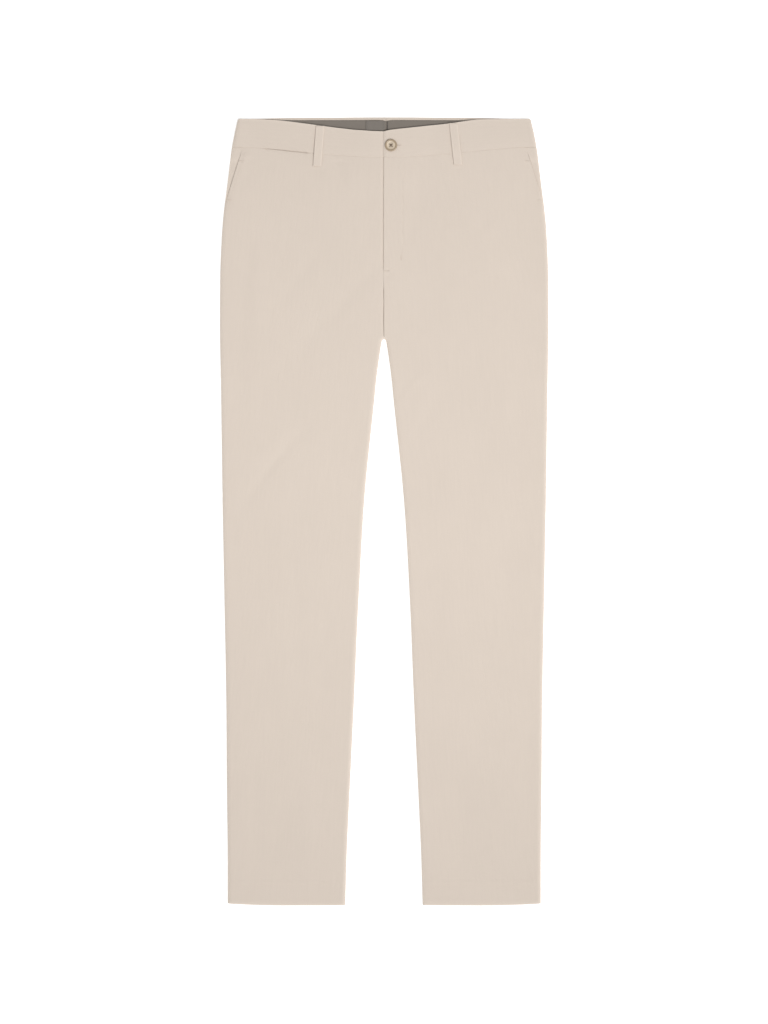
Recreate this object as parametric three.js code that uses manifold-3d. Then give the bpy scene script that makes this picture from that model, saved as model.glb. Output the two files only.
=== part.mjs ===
// Corduroy trousers laid flat on their back: millimetres, +Z up, waist towards +Y.
// The wearer's right is -X and the wearer's left is +X. The lying surface is z = 0.
import * as THREE from "three";
import Module from "manifold-3d";
import { mergeVertices } from "three/addons/utils/BufferGeometryUtils.js";

const wasm = await Module();
wasm.setup();

// ---- Driving dimensions ----
const OUTSEAM = 1124.5;          // hem to top of the waistband at the sides
const BACK_RISE = 1.6;           // the back waist's top edge rises this much in the middle
const CLOTH = 1.2;               // wall of the corduroy
const LINING = 1.0;              // wall of the lighter inside cloths
const SEAM_GAP = 0.3;            // space between neighbouring pieces
const LEFT_OUTER_SHIFT = 0.9;
const RIGHT_INNER_SHIFT = 0.9;
const LAID_HEIGHT = 5.8;         // both layers of a leg, with the air between them
const FOLD_HEIGHT = LAID_HEIGHT / 2;
const FOLD_REACH = 6;            // how far in from an edge the fold rounds off
const HEM_TURNING = 34;          // depth of the turned-up hem
const HEM_EXTRA = 0.6;           // extra thickness where the hem is double
const HEM_CORNER_RISE = 2.7;     // outer corners of the hem sit this much higher
const HEM_INSEAM_RISE = 0.4;     // and the inner ones this much
const SEAM_VALLEY = 0.5;         // depth of the hollow along the seam below the fly
const CROTCH_Y = 808.8;
const CROTCH_RADIUS = 3.3;       // half the width of the slot where the legs part
const CROTCH_CENTRE = CROTCH_Y - CROTCH_RADIUS;
const BAND_SIDE_Y = 1083.5;      // waistband seam at the sides and across the back
const BAND_FRONT_DIP = 14.5;     // how much lower the seam runs at centre front
const BAND_HALF_WIDTH = 217;
const BAND_CORNER = 3.5;         // rounding of the waistband's top corners
const FRONT_SEAM_X = -0.6;
const FRONT_SEAM_BEND_Y = 822;   // the front seam leans over to its place up to here
const BACK_SEAM_X = 3;
const FLY_END_Y = 906;
const FLY_TUCK = 8;              // how far the right front reaches under the left
const FLY_DIP = 1.5;             // how much lower the tucked edge lies
const FLY_DIP_REACH = 12;
const FLY_DIP_X = -1.3;          // where the dip is at its deepest
const FLY_DIP_Y = 884;           // where it begins, below the fly's end
const BAND_TUCK = 38;            // button extension of the right waistband
const STACK_LIFT = 1.7;          // layers over a back belt loop lie this much higher
const LOOP_WIDTH = 12;
const LOOP_THICKNESS = 1.4;
const LOOP_ARCH = 1.1;
const BUTTON_DIAMETER = 17.4;
const BUTTON_THICKNESS = 2.8;
const BUTTON_X = 10;
const BUTTON_Y = 1086;
const BUTTON_HOLE = { radius: 0.9, fromMiddle: 2.3 };
const POCKET_FOOT_Y = 1005;      // lower end of the slanted pocket mouth
const POCKET_FOOT_INSET = 1.3;   // from the side fold
const POCKET_HEAD_INSET = 16.0;  // where the mouth meets the waistband
const POCKET_BOW = 1.15;         // the mouth curves a little towards the fold
const POCKET_UNDERLAP = 12;
const POCKET_DROP = 2.1;         // the facing lies this much below the front's face
const POCKET_FOOT_GAP = 2.2;     // the facing starts this much above the mouth's lower end

// Silhouette of one half: height above the hem, outer edge, inner edge of the leg.
const LEG_OUTLINE = [
  { y: 0, outer: 223.2, inner: 55.3 },
  { y: 78.4, outer: 223.3, inner: 53.0 },
  { y: 149.9, outer: 224.2, inner: 49.7 },
  { y: 292.8, outer: 225.3, inner: 42.9 },
  { y: 435.6, outer: 227.9, inner: 37.1 },
  { y: 578.5, outer: 230.6, inner: 28.6 },
  { y: 721.4, outer: 232.6, inner: 13.9 },
  { y: 757.1, outer: 233.2, inner: 10.3 },
  { y: 792.8, outer: 233.9, inner: 5.4 },
  { y: 805.5, outer: 234.2, inner: 3.3 },
];

const HIP_OUTLINE = [
  { y: 805.5, outer: 234.2 },
  { y: 864.2, outer: 234.3 },
  { y: 907.0, outer: 233.8 },
  { y: 935.6, outer: 232.7 },
  { y: 964.0, outer: 231.2 },
  { y: 992.8, outer: 228.7 },
  { y: 1021.4, outer: 225.0 },
  { y: 1050.0, outer: 221.5 },
  { y: 1078.5, outer: 218.0 },
  { y: 1107.0, outer: 213.2 },
  { y: 1124.5, outer: 209.6 },
];

// Top edge of the front waist: how far it hangs below the back waist.
const WAIST_DROP = [
  { x: -210, drop: 0 },
  { x: -174, drop: 0.9 },
  { x: -148, drop: 2.6 },
  { x: -116, drop: 6.4 },
  { x: -84, drop: 10.8 },
  { x: -57, drop: 14.2 },
  { x: -37, drop: 16.3 },
  { x: -1, drop: 18.0 },
  { x: 8, drop: 16.2 },
  { x: 35, drop: 13.1 },
  { x: 67, drop: 9.6 },
  { x: 92, drop: 6.9 },
  { x: 122, drop: 2.6 },
  { x: 138, drop: 1.0 },
  { x: 170, drop: 0.4 },
  { x: 210, drop: 0 },
];

// Broad soft folds of the laid cloth: centre, half length, half width, lean and depth.
const SOFT_FOLDS = [
  { x: -60, y: 860, length: 90, width: 16, lean: 0.9, depth: 0.5 },
  { x: 62, y: 866, length: 95, width: 17, lean: -0.9, depth: 0.5 },
  { x: -118, y: 640, length: 150, width: 22, lean: -0.12, depth: 0.35 },
  { x: 126, y: 600, length: 160, width: 24, lean: 0.1, depth: 0.35 },
  { x: -158, y: 250, length: 130, width: 20, lean: -0.08, depth: 0.4 },
  { x: 150, y: 300, length: 140, width: 22, lean: 0.08, depth: 0.4 },
  { x: -26, y: 1000, length: 55, width: 14, lean: -0.1, depth: 0.45 },
  { x: 158, y: 1010, length: 50, width: 18, lean: -0.5, depth: 0.35 },
];

// Belt loops: middle of the top end, middle of the lower end, and the face they lie on.
const BELT_LOOPS = [
  { name: "loop_front_right", topX: -91.2, footX: -95.6, footY: 1056.3, back: false },
  { name: "loop_front_left", topX: 99.2, footX: 105.8, footY: 1058.2, back: false },
  { name: "loop_back_right", topX: -146, footX: -148, footY: 1068, back: true },
  { name: "loop_back_left", topX: 146, footX: 148, footY: 1068, back: true },
  { name: "loop_back_centre", topX: 3, footX: 3, footY: 1068, back: true },
];

// The small pocket in the waistband seam: ends of its mouth, how far from each end it takes
// to open, how far it opens, and how far its bag reaches down, sideways and up.
const TICKET_MOUTH = { from: -171, to: -108, ease: 11, sag: 1.0 };
const TICKET_BAG = { down: 24, fold: 6, side: 5, up: 3 };
const INNER_PATCH = { from: -25.6, to: 0.6, foot: 1107.6, head: 1121 };
const FLY_SHIELD = { foot: 890, widest: 896, head: 1064, middle: 11, footWidth: 0.6 };
const ZIP = { foot: 912, head: 1048, offset: 0.7, tape: 16, chain: 4, step: 0.5, lift: 2.8 };

const COLOURS = {
  corduroy: 0xddd1c3,
  lining: 0x8f867d,
  patch: 0x94918f,
  tape: 0xd0c4b4,
  metal: 0xa89b86,
  button: 0xc6b396,
};

// ---- Small helpers ----
const smooth = (from, to, value) => {
  const t = Math.min(1, Math.max(0, (value - from) / (to - from)));
  return t * t * (3 - 2 * t);
};
const mix = (a, b, t) => a + (b - a) * t;
const near = (offset, flat, reach) => 1 - smooth(flat, reach, Math.abs(offset));
const spread = (from, to, count) => Array.from({ length: count }, (_, i) => mix(from, to, i / (count - 1)));

// Smooth curve through a table's rows, without overshoot between them.
function curve(rows, key, value) {
  const slopes = rows.map((row, i) => {
    const before = rows[Math.max(0, i - 1)];
    const after = rows[Math.min(rows.length - 1, i + 1)];
    return (after[value] - before[value]) / (after[key] - before[key]);
  });
  return (at) => {
    const last = rows.length - 2;
    let i = rows.findIndex((row) => row[key] > at) - 1;
    i = i < 0 ? (at < rows[0][key] ? 0 : last) : i;
    const span = rows[i + 1][key] - rows[i][key];
    const t = Math.min(1, Math.max(0, (at - rows[i][key]) / span));
    const s = 1 - t;
    return (
      rows[i][value] * (1 + 2 * t) * s * s +
      rows[i + 1][value] * (3 - 2 * t) * t * t +
      (slopes[i] * s - slopes[i + 1] * t) * span * t * s
    );
  };
}

// ---- Silhouette ----
const legOuter = curve(LEG_OUTLINE, "y", "outer");
const legInner = curve(LEG_OUTLINE, "y", "inner");
const hipOuter = curve(HIP_OUTLINE, "y", "outer");
const waistDrop = curve(WAIST_DROP, "x", "drop");
const outerAt = (y) => (y < CROTCH_CENTRE ? legOuter(y) : hipOuter(y));

function innerAt(y) {
  if (y < CROTCH_CENTRE) {
    return legInner(y);
  }
  const rise = Math.min(CROTCH_RADIUS, y - CROTCH_CENTRE);
  return Math.sqrt(CROTCH_RADIUS ** 2 - rise ** 2);
}

// Distance from a point to the nearest folded edge.
function edgeDistance(x, y) {
  const side = outerAt(y) - Math.abs(x);
  const fromCrotch = Math.hypot(x, y - CROTCH_CENTRE) - CROTCH_RADIUS;
  const inside = y < CROTCH_CENTRE ? Math.abs(x) - innerAt(y) : fromCrotch;
  return Math.max(0, Math.min(side, inside));
}

// Quarter round of a fold: 0 on the edge, 1 where the cloth lies flat.
const roll = (distance) => Math.sqrt(1 - (1 - Math.min(distance, FOLD_REACH) / FOLD_REACH) ** 2);
const FOLD_STEPS = [0, 22.5, 45, 67.5, 90].map((deg) => FOLD_REACH * (1 - Math.cos((deg * Math.PI) / 180)));

const frontSeamX = (y) => FRONT_SEAM_X * smooth(CROTCH_Y, FRONT_SEAM_BEND_Y, y);
const backSeamX = (y) => BACK_SEAM_X * smooth(CROTCH_Y, 1000, y);

function bandSeamY(x) {
  const out = Math.min(1, Math.abs(x) / BAND_HALF_WIDTH);
  return BAND_SIDE_Y - BAND_FRONT_DIP * (1 - out ** 2) ** 2;
}

function hemY(x, y) {
  const across = (Math.abs(x) - innerAt(y)) / (outerAt(y) - innerAt(y));
  const rise = across > 0.5 ? HEM_CORNER_RISE : HEM_INSEAM_RISE;
  return rise * (2 * across - 1) ** 2;
}

// The turned-up hem is thicker, except on the folds, where it thins out.
function hemExtra(x, y) {
  const deep = 1 - smooth(HEM_TURNING - 3, HEM_TURNING + 1, y);
  return HEM_EXTRA * deep * smooth(FOLD_REACH / 3, FOLD_REACH, edgeDistance(x, y));
}

function cornerDrop(x, y) {
  const inward = Math.min(BAND_CORNER, outerAt(y) - Math.abs(x));
  return BAND_CORNER - Math.sqrt(Math.max(0, BAND_CORNER ** 2 - (BAND_CORNER - inward) ** 2));
}
const backRise = (x) => BACK_RISE * near(x, 90, 200);
const backTopY = (x) => OUTSEAM + backRise(x) - cornerDrop(x, OUTSEAM);
const frontTopY = (x) => OUTSEAM - Math.max(waistDrop(x), cornerDrop(x, OUTSEAM));

// ---- Heights of the laid layers ----
function centreLift(x, y) {
  return STACK_LIFT * near(x - BACK_SEAM_X, 20, 75) * smooth(1005, 1055, y);
}

function loopLift(x, y) {
  const sides = near(Math.abs(x) - 147, 9, 34);
  return centreLift(x, y) + STACK_LIFT * sides * smooth(1030, 1062, y);
}

function softFolds(x, y) {
  let depth = 0;
  for (const fold of SOFT_FOLDS) {
    const along = (y - fold.y) / fold.length;
    const across = (x - fold.x - fold.lean * (y - fold.y)) / fold.width;
    depth += fold.depth * Math.exp(-(along ** 2) - across ** 2);
  }
  return depth;
}

function seamValley(x, y) {
  const along = smooth(CROTCH_Y, 830, y) * (1 - smooth(FLY_DIP_Y, FLY_END_Y, y));
  return SEAM_VALLEY * along * Math.exp(-(((x - FRONT_SEAM_X) / 6) ** 2));
}

function frontHeight(x, y) {
  const flat = LAID_HEIGHT - FOLD_HEIGHT - softFolds(x, y) - seamValley(x, y) + centreLift(x, y);
  return FOLD_HEIGHT + flat * roll(edgeDistance(x, y));
}

function backHeight(x, y) {
  return FOLD_HEIGHT - (FOLD_HEIGHT - loopLift(x, y)) * roll(edgeDistance(x, y));
}

// The right side passes below the left one at the fly.
function flyDip(x, y) {
  return FLY_DIP * smooth(FLY_DIP_X - FLY_DIP_REACH, FLY_DIP_X, x) * smooth(FLY_DIP_Y, FLY_END_Y, y);
}
const rightHeight = (x, y) => frontHeight(x, y) - flyDip(x, y);

function ticketSag(x, y) {
  const { from, to, ease, sag } = TICKET_MOUTH;
  const across = smooth(from, from + ease, x) * (1 - smooth(to - ease, to, x));
  return sag * across * smooth(bandSeamY(x) - 14, bandSeamY(x), y);
}

// ---- Walls ----
// A point on a face: its place and the direction its outer side looks.
function facePoint(height, up, x, y) {
  const step = 0.05;
  const slopeX = (height(x + step, y) - height(x - step, y)) / (2 * step);
  const slopeY = (height(x, y + step) - height(x, y - step)) / (2 * step);
  const normal = new THREE.Vector3(-slopeX * up, -slopeY * up, up);
  return { place: new THREE.Vector3(x, y, height(x, y)), normal };
}

// A closed wall between an outer grid of points and the same grid moved inwards.
function wall(outer, inner) {
  const rows = outer.length;
  const columns = outer[0].length;
  const points = [...outer.flat(), ...inner.flat()];
  const at = (layer, r, c) => (layer * rows + r) * columns + c;
  const index = [];
  const quad = (a, b, c, d) => index.push(a, b, c, a, c, d);
  for (let r = 0; r < rows - 1; r += 1) {
    for (let c = 0; c < columns - 1; c += 1) {
      quad(at(0, r, c), at(0, r, c + 1), at(0, r + 1, c + 1), at(0, r + 1, c));
      quad(at(1, r, c), at(1, r + 1, c), at(1, r + 1, c + 1), at(1, r, c + 1));
    }
  }
  for (let c = 0; c < columns - 1; c += 1) {
    quad(at(1, 0, c), at(1, 0, c + 1), at(0, 0, c + 1), at(0, 0, c));
    quad(at(0, rows - 1, c), at(0, rows - 1, c + 1), at(1, rows - 1, c + 1), at(1, rows - 1, c));
  }
  for (let r = 0; r < rows - 1; r += 1) {
    quad(at(0, r, 0), at(0, r + 1, 0), at(1, r + 1, 0), at(1, r, 0));
    quad(at(1, r, columns - 1), at(1, r + 1, columns - 1), at(0, r + 1, columns - 1), at(0, r, columns - 1));
  }
  const geometry = new THREE.BufferGeometry();
  geometry.setAttribute("position", new THREE.Float32BufferAttribute(points.flatMap((p) => p.toArray()), 3));
  geometry.setIndex(index);
  return facingOut(geometry);
}

// Turns a closed shell whose faces point inwards the right way round.
function facingOut(geometry) {
  const position = geometry.attributes.position;
  const index = geometry.index.array;
  const corners = [0, 1, 2].map(() => new THREE.Vector3());
  let volume = 0;
  for (let i = 0; i < index.length; i += 3) {
    corners.forEach((corner, k) => corner.fromBufferAttribute(position, index[i + k]));
    volume += corners[0].dot(corners[1].cross(corners[2]));
  }
  if (volume < 0) {
    for (let i = 0; i < index.length; i += 3) {
      [index[i], index[i + 1]] = [index[i + 1], index[i]];
    }
  }
  return geometry;
}

const group = new THREE.Group();

// The legs aren't laid quite evenly: the left one's outer edge and the middle of the right
// one's inner edge both lie a little further left.
function shiftLeft(x, y) {
  const inward = x < 0 ? smooth(-160, -70, x) * Math.exp(-(((y - 480) / 120) ** 2)) : 0;
  return LEFT_OUTER_SHIFT * smooth(158, 215, x) + RIGHT_INNER_SHIFT * inward;
}

function lay(geometry) {
  const place = geometry.attributes.position;
  for (let i = 0; i < place.count; i++) {
    place.setX(i, place.getX(i) + shiftLeft(place.getX(i), place.getY(i)));
  }
  geometry.translate(0, -OUTSEAM / 2, 0);
}

function add(name, geometry, colour, roughness = 0.9, metalness = 0) {
  lay(geometry);
  geometry.computeVertexNormals();
  const material = new THREE.MeshStandardMaterial({ color: colour, roughness, metalness });
  const mesh = new THREE.Mesh(geometry, material);
  mesh.name = name;
  group.add(mesh);
}

// ---- Leg panels ----
const FOLD_ROWS = FOLD_STEPS.slice(1).map((step) => CROTCH_Y + step);
const CROTCH_ROWS = [0, 45, 67.5].map((deg) => {
  return CROTCH_CENTRE + CROTCH_RADIUS * Math.sin((deg * Math.PI) / 180);
});
const LEG_ROWS = [
  0, 8, 31, 35, 115, 200, 290, 380, 470, 560, 640, 700, 745, 778, 794,
  ...CROTCH_ROWS, CROTCH_Y, ...FOLD_ROWS, 823, 840, 862, 884, 895,
];
const HIP_ROWS = [907, 930, 955, 980, 1003, 1007, 1022, 1038, 1054, 1068, BAND_SIDE_Y];
const PANEL_ROWS = [...LEG_ROWS, ...HIP_ROWS];
const TUCK_STEPS = [0, 4.5, 9.1, 12.5, 16];
const BACK_STOPS = [40, 75, 112, 137, 157, 182];
const TICKET_STOPS = [40, 75, 108, 119, 160, 171];
const FRONT_STOPS = [30, 58, 90, 120, 150, 180];

// Rows near the waist bend down with the waistband seam.
function seamRow(row, x) {
  const bent = smooth(985, BAND_SIDE_Y, row);
  return row - (BAND_SIDE_Y - bandSeamY(x)) * bent;
}

function pocketInset(y) {
  const up = (y - POCKET_FOOT_Y) / (BAND_SIDE_Y - POCKET_FOOT_Y);
  return mix(POCKET_FOOT_INSET, POCKET_HEAD_INSET, Math.max(0, up) ** POCKET_BOW);
}

// Distances from the centre line of a panel's columns on one row. The middle ones are
// even on the leg and move to the waist stops near the waistband.
function panelColumns(row, innerEdge, innerSteps, outerInset, waistStops) {
  const outerEdge = outerAt(row) - outerInset;
  const inner = innerSteps.map((step) => innerEdge + step);
  const outer = FOLD_STEPS.map((step) => outerEdge - step).reverse();
  const even = spread(inner[inner.length - 1], outer[0], waistStops.length + 2).slice(1, -1);
  const middle = even.map((distance, i) => mix(distance, waistStops[i], smooth(960, 1022, row)));
  return [...inner, ...middle, ...outer];
}

function legPanel({ side, front, height, innerEdge, innerSteps, waistStops }) {
  const up = front ? 1 : -1;
  const outerGrid = [];
  const innerGrid = [];
  for (const row of PANEL_ROWS) {
    const hasMouth = front && row > POCKET_FOOT_Y;
    const inset = hasMouth ? pocketInset(row) : 0;
    const edge = innerEdge(row);
    const across = panelColumns(row, edge, innerSteps(row), inset, waistStops);
    const outerRow = [];
    const innerRow = [];
    across.forEach((distance, column) => {
      const first = column === 0;
      const last = column === across.length - 1;
      const x = side * (distance - cornerTrim(row, first, last));
      let y = front ? seamRow(row, x) : row;
      if (row === 0) {
        y = hemY(x, 0);
      }
      if (row === BAND_SIDE_Y) {
        y -= SEAM_GAP / 2;
        y -= front && side < 0 ? ticketSag(x, y) : 0;
      }
      const point = facePoint(height, up, x, y);
      const onFold = (last && !hasMouth) || (first && row <= CROTCH_Y);
      tidyEdgeNormal(point.normal, onFold, first && row >= CROTCH_Y);
      if (onFold) {
        point.place.z = FOLD_HEIGHT + (up * SEAM_GAP) / 2;
      }
      const turned = hemExtra(x, y);
      outerRow.push(point.place);
      innerRow.push(point.place.clone().addScaledVector(point.normal, -CLOTH - turned));
    });
    outerGrid.push(outerRow);
    innerGrid.push(innerRow);
  }
  return wall(outerGrid, innerGrid);
}

// The hem's corners are a little rounded.
function cornerTrim(row, first, last) {
  if (row !== 0 || (!first && !last)) {
    return 0;
  }
  return last ? 1 : -0.7;
}

// Cut edges end level on a fold and upright on a centre seam.
function tidyEdgeNormal(normal, onFold, onCentreSeam) {
  if (onFold) {
    normal.z = 0;
  }
  if (onCentreSeam) {
    normal.x = 0;
  }
  normal.normalize();
}

function foldOrTuck(row) {
  const t = smooth(830, 895, row);
  return FOLD_STEPS.map((step, i) => mix(step, TUCK_STEPS[i], t));
}

function centreEdge(seamX, side) {
  return (row) => (row < CROTCH_Y ? innerAt(row) : side * seamX(row) + SEAM_GAP / 2);
}

function rightFrontEdge(row) {
  const seam = centreEdge(frontSeamX, -1)(row);
  return mix(seam, -FLY_TUCK, smooth(FLY_END_Y - 1, FLY_END_Y + 24, row));
}

add("back_right", legPanel({
  side: -1, front: false, height: backHeight,
  innerEdge: centreEdge(backSeamX, -1), innerSteps: () => FOLD_STEPS, waistStops: BACK_STOPS,
}), COLOURS.corduroy);
add("back_left", legPanel({
  side: 1, front: false, height: backHeight,
  innerEdge: centreEdge(backSeamX, 1), innerSteps: () => FOLD_STEPS, waistStops: BACK_STOPS,
}), COLOURS.corduroy);
add("front_right", legPanel({
  side: -1, front: true, height: rightHeight,
  innerEdge: rightFrontEdge, innerSteps: foldOrTuck, waistStops: TICKET_STOPS,
}), COLOURS.corduroy);
add("front_left", legPanel({
  side: 1, front: true, height: frontHeight,
  innerEdge: centreEdge(frontSeamX, 1), innerSteps: () => FOLD_STEPS, waistStops: FRONT_STOPS,
}), COLOURS.corduroy);

// ---- Waistband ----
// Each half starts at centre front, turns round its side fold and ends at centre back.
function waistband(side, height, frontStops) {
  const backStops = [188, 178, 166, 156, 147, 138, 128, 114, 92, 72, 55, 38, 22, 11];
  backStops.push(side * BACK_SEAM_X + SEAM_GAP / 2);
  const fold = FOLD_STEPS.slice(1).reverse();
  const rows = [0, 0.5, 0.92, 1];
  const outerGrid = rows.map(() => []);
  const innerGrid = rows.map(() => []);
  const place = (row, distance, inset, back) => {
    const up = back ? -1 : 1;
    const level = mix(BAND_SIDE_Y, OUTSEAM, rows[row]);
    const across = inset === null ? distance : outerAt(level) - inset;
    const x = side * across;
    const foot = (back ? BAND_SIDE_Y : bandSeamY(x)) + SEAM_GAP / 2;
    const head = back ? backTopY(x) : frontTopY(x);
    const y = mix(foot, head, rows[row]);
    const point = facePoint(back ? backHeight : height, up, x, y);
    if (inset === 0) {
      point.place.z = FOLD_HEIGHT;
      point.normal.set(side, 0, 0);
    }
    point.normal.normalize();
    outerGrid[row].push(point.place);
    innerGrid[row].push(point.place.clone().addScaledVector(point.normal, -CLOTH));
  };
  rows.forEach((_, row) => {
    frontStops.forEach((distance) => place(row, distance, null, false));
    fold.forEach((inset) => place(row, 0, inset, false));
    place(row, 0, 0, false);
    [...fold].reverse().forEach((inset) => place(row, 0, inset, true));
    backStops.forEach((distance) => place(row, distance, null, true));
  });
  return wall(outerGrid, innerGrid);
}

add("waistband_right", waistband(-1, rightHeight, [
  -BAND_TUCK, -20, -8, 1.3, 4.5, 8, 13.3, 24, 37, 50, 64, 80, 100, 122, 148, 174, 192,
]), COLOURS.corduroy);
add("waistband_left", waistband(1, frontHeight, [
  FRONT_SEAM_X + SEAM_GAP / 2, 8, 20, 35, 50, 67, 80, 94, 108, 122, 138, 160, 180, 194,
]), COLOURS.corduroy);

// ---- Strips made from the points of the layer they lie on ----
// Columns are x values, rows are y values; the lower face is lifted off its layer.
function strip({ columns, rows, underside, thickness, yAt = (x, row) => row, xAt = (x) => x }) {
  const lower = [];
  const upper = [];
  for (const row of rows) {
    const points = columns.map((column) => {
      const x = xAt(column, row);
      const y = yAt(column, row);
      return new THREE.Vector3(x, y, underside(x, y));
    });
    lower.push(points);
    upper.push(points.map((point) => point.clone().setZ(point.z + thickness(point.x, point.y))));
  }
  return wall(upper, lower);
}

const FACING_TOP = 2.5;          // the inside facing ends this much below the sides' top
const backInside = (x, y) => loopLift(x, y) + CLOTH;

function insideFacing(side) {
  const seam = side * BACK_SEAM_X + SEAM_GAP / 2;
  const stops = [seam, 11, 22, 38, 55, 72, 92, 114, 128, 138, 147, 156, 166, 178, 190, 199];
  return strip({
    columns: stops.map((stop) => side * stop),
    rows: [BAND_SIDE_Y + 1, (BAND_SIDE_Y + OUTSEAM) / 2, OUTSEAM - FACING_TOP],
    underside: (x, y) => backInside(x, y) + SEAM_GAP,
    thickness: () => LINING,
  });
}
add("facing_right", insideFacing(-1), COLOURS.lining, 0.75);
add("facing_left", insideFacing(1), COLOURS.lining, 0.75);

add("inner_patch", strip({
  columns: spread(INNER_PATCH.from, INNER_PATCH.to, 5),
  rows: [INNER_PATCH.foot, INNER_PATCH.head],
  underside: (x, y) => backInside(x, y) + LINING + 2 * SEAM_GAP,
  thickness: () => LINING,
}), COLOURS.patch, 0.7);

// ---- Belt loops ----
function beltLoop({ topX, footX, footY, back }) {
  const edge = back ? backTopY : frontTopY;
  const topY = edge(topX) - 0.6;
  const stops = [0, 0.06, 0.2, 0.4, 0.6, 0.8, 0.94, 1];
  const seat = back ? () => 0 : (x, y) => frontHeight(x, y) - (x < 0 ? flyDip(x, y) : 0) + SEAM_GAP;
  const arch = (y) => (back ? 0 : LOOP_ARCH * Math.sin((Math.PI * (y - footY)) / (topY - footY)) ** 2);
  return strip({
    columns: spread(-LOOP_WIDTH / 2, LOOP_WIDTH / 2, 4),
    rows: stops.map((stop) => mix(footY, topY, stop)),
    xAt: (column, row) => column + mix(footX, topX, (row - footY) / (topY - footY)),
    underside: (x, y) => seat(x, y) + arch(y),
    thickness: () => LOOP_THICKNESS,
  });
}
for (const loop of BELT_LOOPS) {
  add(loop.name, beltLoop(loop), COLOURS.corduroy);
}

// ---- Pockets ----
// The facing forms the side fold inside the slanted mouth and runs on under the front.
function pocketFacing(side) {
  const rows = [POCKET_FOOT_Y + POCKET_FOOT_GAP, 1018, 1034, 1050, 1066, BAND_SIDE_Y];
  const base = FOLD_HEIGHT + SEAM_GAP / 2;
  const rise = LAID_HEIGHT - POCKET_DROP - base;
  const outerGrid = [];
  const innerGrid = [];
  for (const row of rows) {
    const reach = pocketInset(row) + POCKET_UNDERLAP;
    const steps = [...FOLD_STEPS, mix(FOLD_REACH, reach, 0.5), reach];
    outerGrid.push([]);
    innerGrid.push([]);
    steps.forEach((step) => {
      const x = side * (outerAt(row) - step);
      const y = seamRow(row, x) - (row === BAND_SIDE_Y ? SEAM_GAP / 2 : 0);
      const height = roll(step);
      const inset = CLOTH * (1 - height);
      outerGrid[outerGrid.length - 1].push(new THREE.Vector3(x, y, base + rise * height));
      innerGrid[innerGrid.length - 1].push(
        new THREE.Vector3(x - side * inset, y, base + (rise - LINING) * height),
      );
    });
  }
  return wall(outerGrid, innerGrid);
}
add("pocket_facing_right", pocketFacing(-1), COLOURS.corduroy);
add("pocket_facing_left", pocketFacing(1), COLOURS.corduroy);

const frontInside = (x, y) => frontHeight(x, y) - CLOTH;

add("ticket_pocket", strip({
  columns: spread(TICKET_MOUTH.from - TICKET_BAG.side, TICKET_MOUTH.to + TICKET_BAG.side, 7),
  rows: [-TICKET_BAG.down, -TICKET_BAG.fold, TICKET_BAG.up],
  yAt: (x, row) => bandSeamY(x) + row,
  underside: (x, y) => frontInside(x, y) - SEAM_GAP - LINING,
  thickness: () => LINING,
}), COLOURS.corduroy);

// ---- Fly ----
add("fly_shield", strip({
  columns: [-14, -4, 6, 16, 26, 36],
  rows: [FLY_SHIELD.foot, FLY_SHIELD.widest, 930, 970, 1005, 1022, 1040, 1055, FLY_SHIELD.head],
  xAt: (x, row) => (row === FLY_SHIELD.foot ? mix(FLY_SHIELD.middle, x, FLY_SHIELD.footWidth) : x),
  underside: (x, y) => centreLift(x, y) + CLOTH + SEAM_GAP,
  thickness: () => LINING,
}), COLOURS.corduroy);

// The tape is thicker where the teeth stand on it.
const ZIP_LEFT = FLY_TUCK + SEAM_GAP + ZIP.offset;
const ZIP_MIDDLE = ZIP_LEFT + ZIP.tape / 2;
const fromChain = (x) => Math.abs(x - ZIP_MIDDLE) - ZIP.chain / 2;
const chainColumns = [ZIP.chain / 2, ZIP.chain / 2 + ZIP.step, ZIP.tape / 2];
add("zip_tape", strip({
  columns: [...chainColumns.map((x) => -x).reverse(), ...chainColumns].map((x) => ZIP_MIDDLE + x),
  rows: [ZIP.foot, 950, 1005, 1020, 1035, ZIP.head],
  underside: (x, y) => centreLift(x, y) + ZIP.lift + (fromChain(x) < ZIP.step / 2 ? 0 : 0.15),
  thickness: (x) => (fromChain(x) < ZIP.step / 2 ? 1.3 : LINING),
}), COLOURS.tape, 0.7);

const SLIDER = { half: 5.4, shoulder: 4, length: 8.7, lead: 1.7 };
add("zip_slider", strip({
  columns: [-SLIDER.half, -SLIDER.shoulder, SLIDER.shoulder, SLIDER.half].map((x) => ZIP_MIDDLE + x),
  rows: [0, SLIDER.lead, SLIDER.length].map((y) => ZIP.head + SEAM_GAP + y),
  underside: (x, y) => centreLift(x, y) + ZIP.lift + 0.05,
  thickness: () => 1.3,
}), COLOURS.metal, 0.4, 0.9);

// ---- Button ----
// Four holes go through a rimmed disc.
function solid(geometry) {
  const bare = geometry.clone();
  bare.deleteAttribute("normal");
  bare.deleteAttribute("uv");
  const merged = mergeVertices(bare, 1e-4);
  const vertProperties = new Float32Array(merged.attributes.position.array);
  const triVerts = new Uint32Array(merged.index.array);
  return new wasm.Manifold(new wasm.Mesh({ numProp: 3, vertProperties, triVerts }));
}

function shell(manifold) {
  const mesh = manifold.getMesh();
  const geometry = new THREE.BufferGeometry();
  geometry.setAttribute("position", new THREE.Float32BufferAttribute(mesh.vertProperties, 3));
  geometry.setIndex([...mesh.triVerts]);
  return geometry;
}

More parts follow.
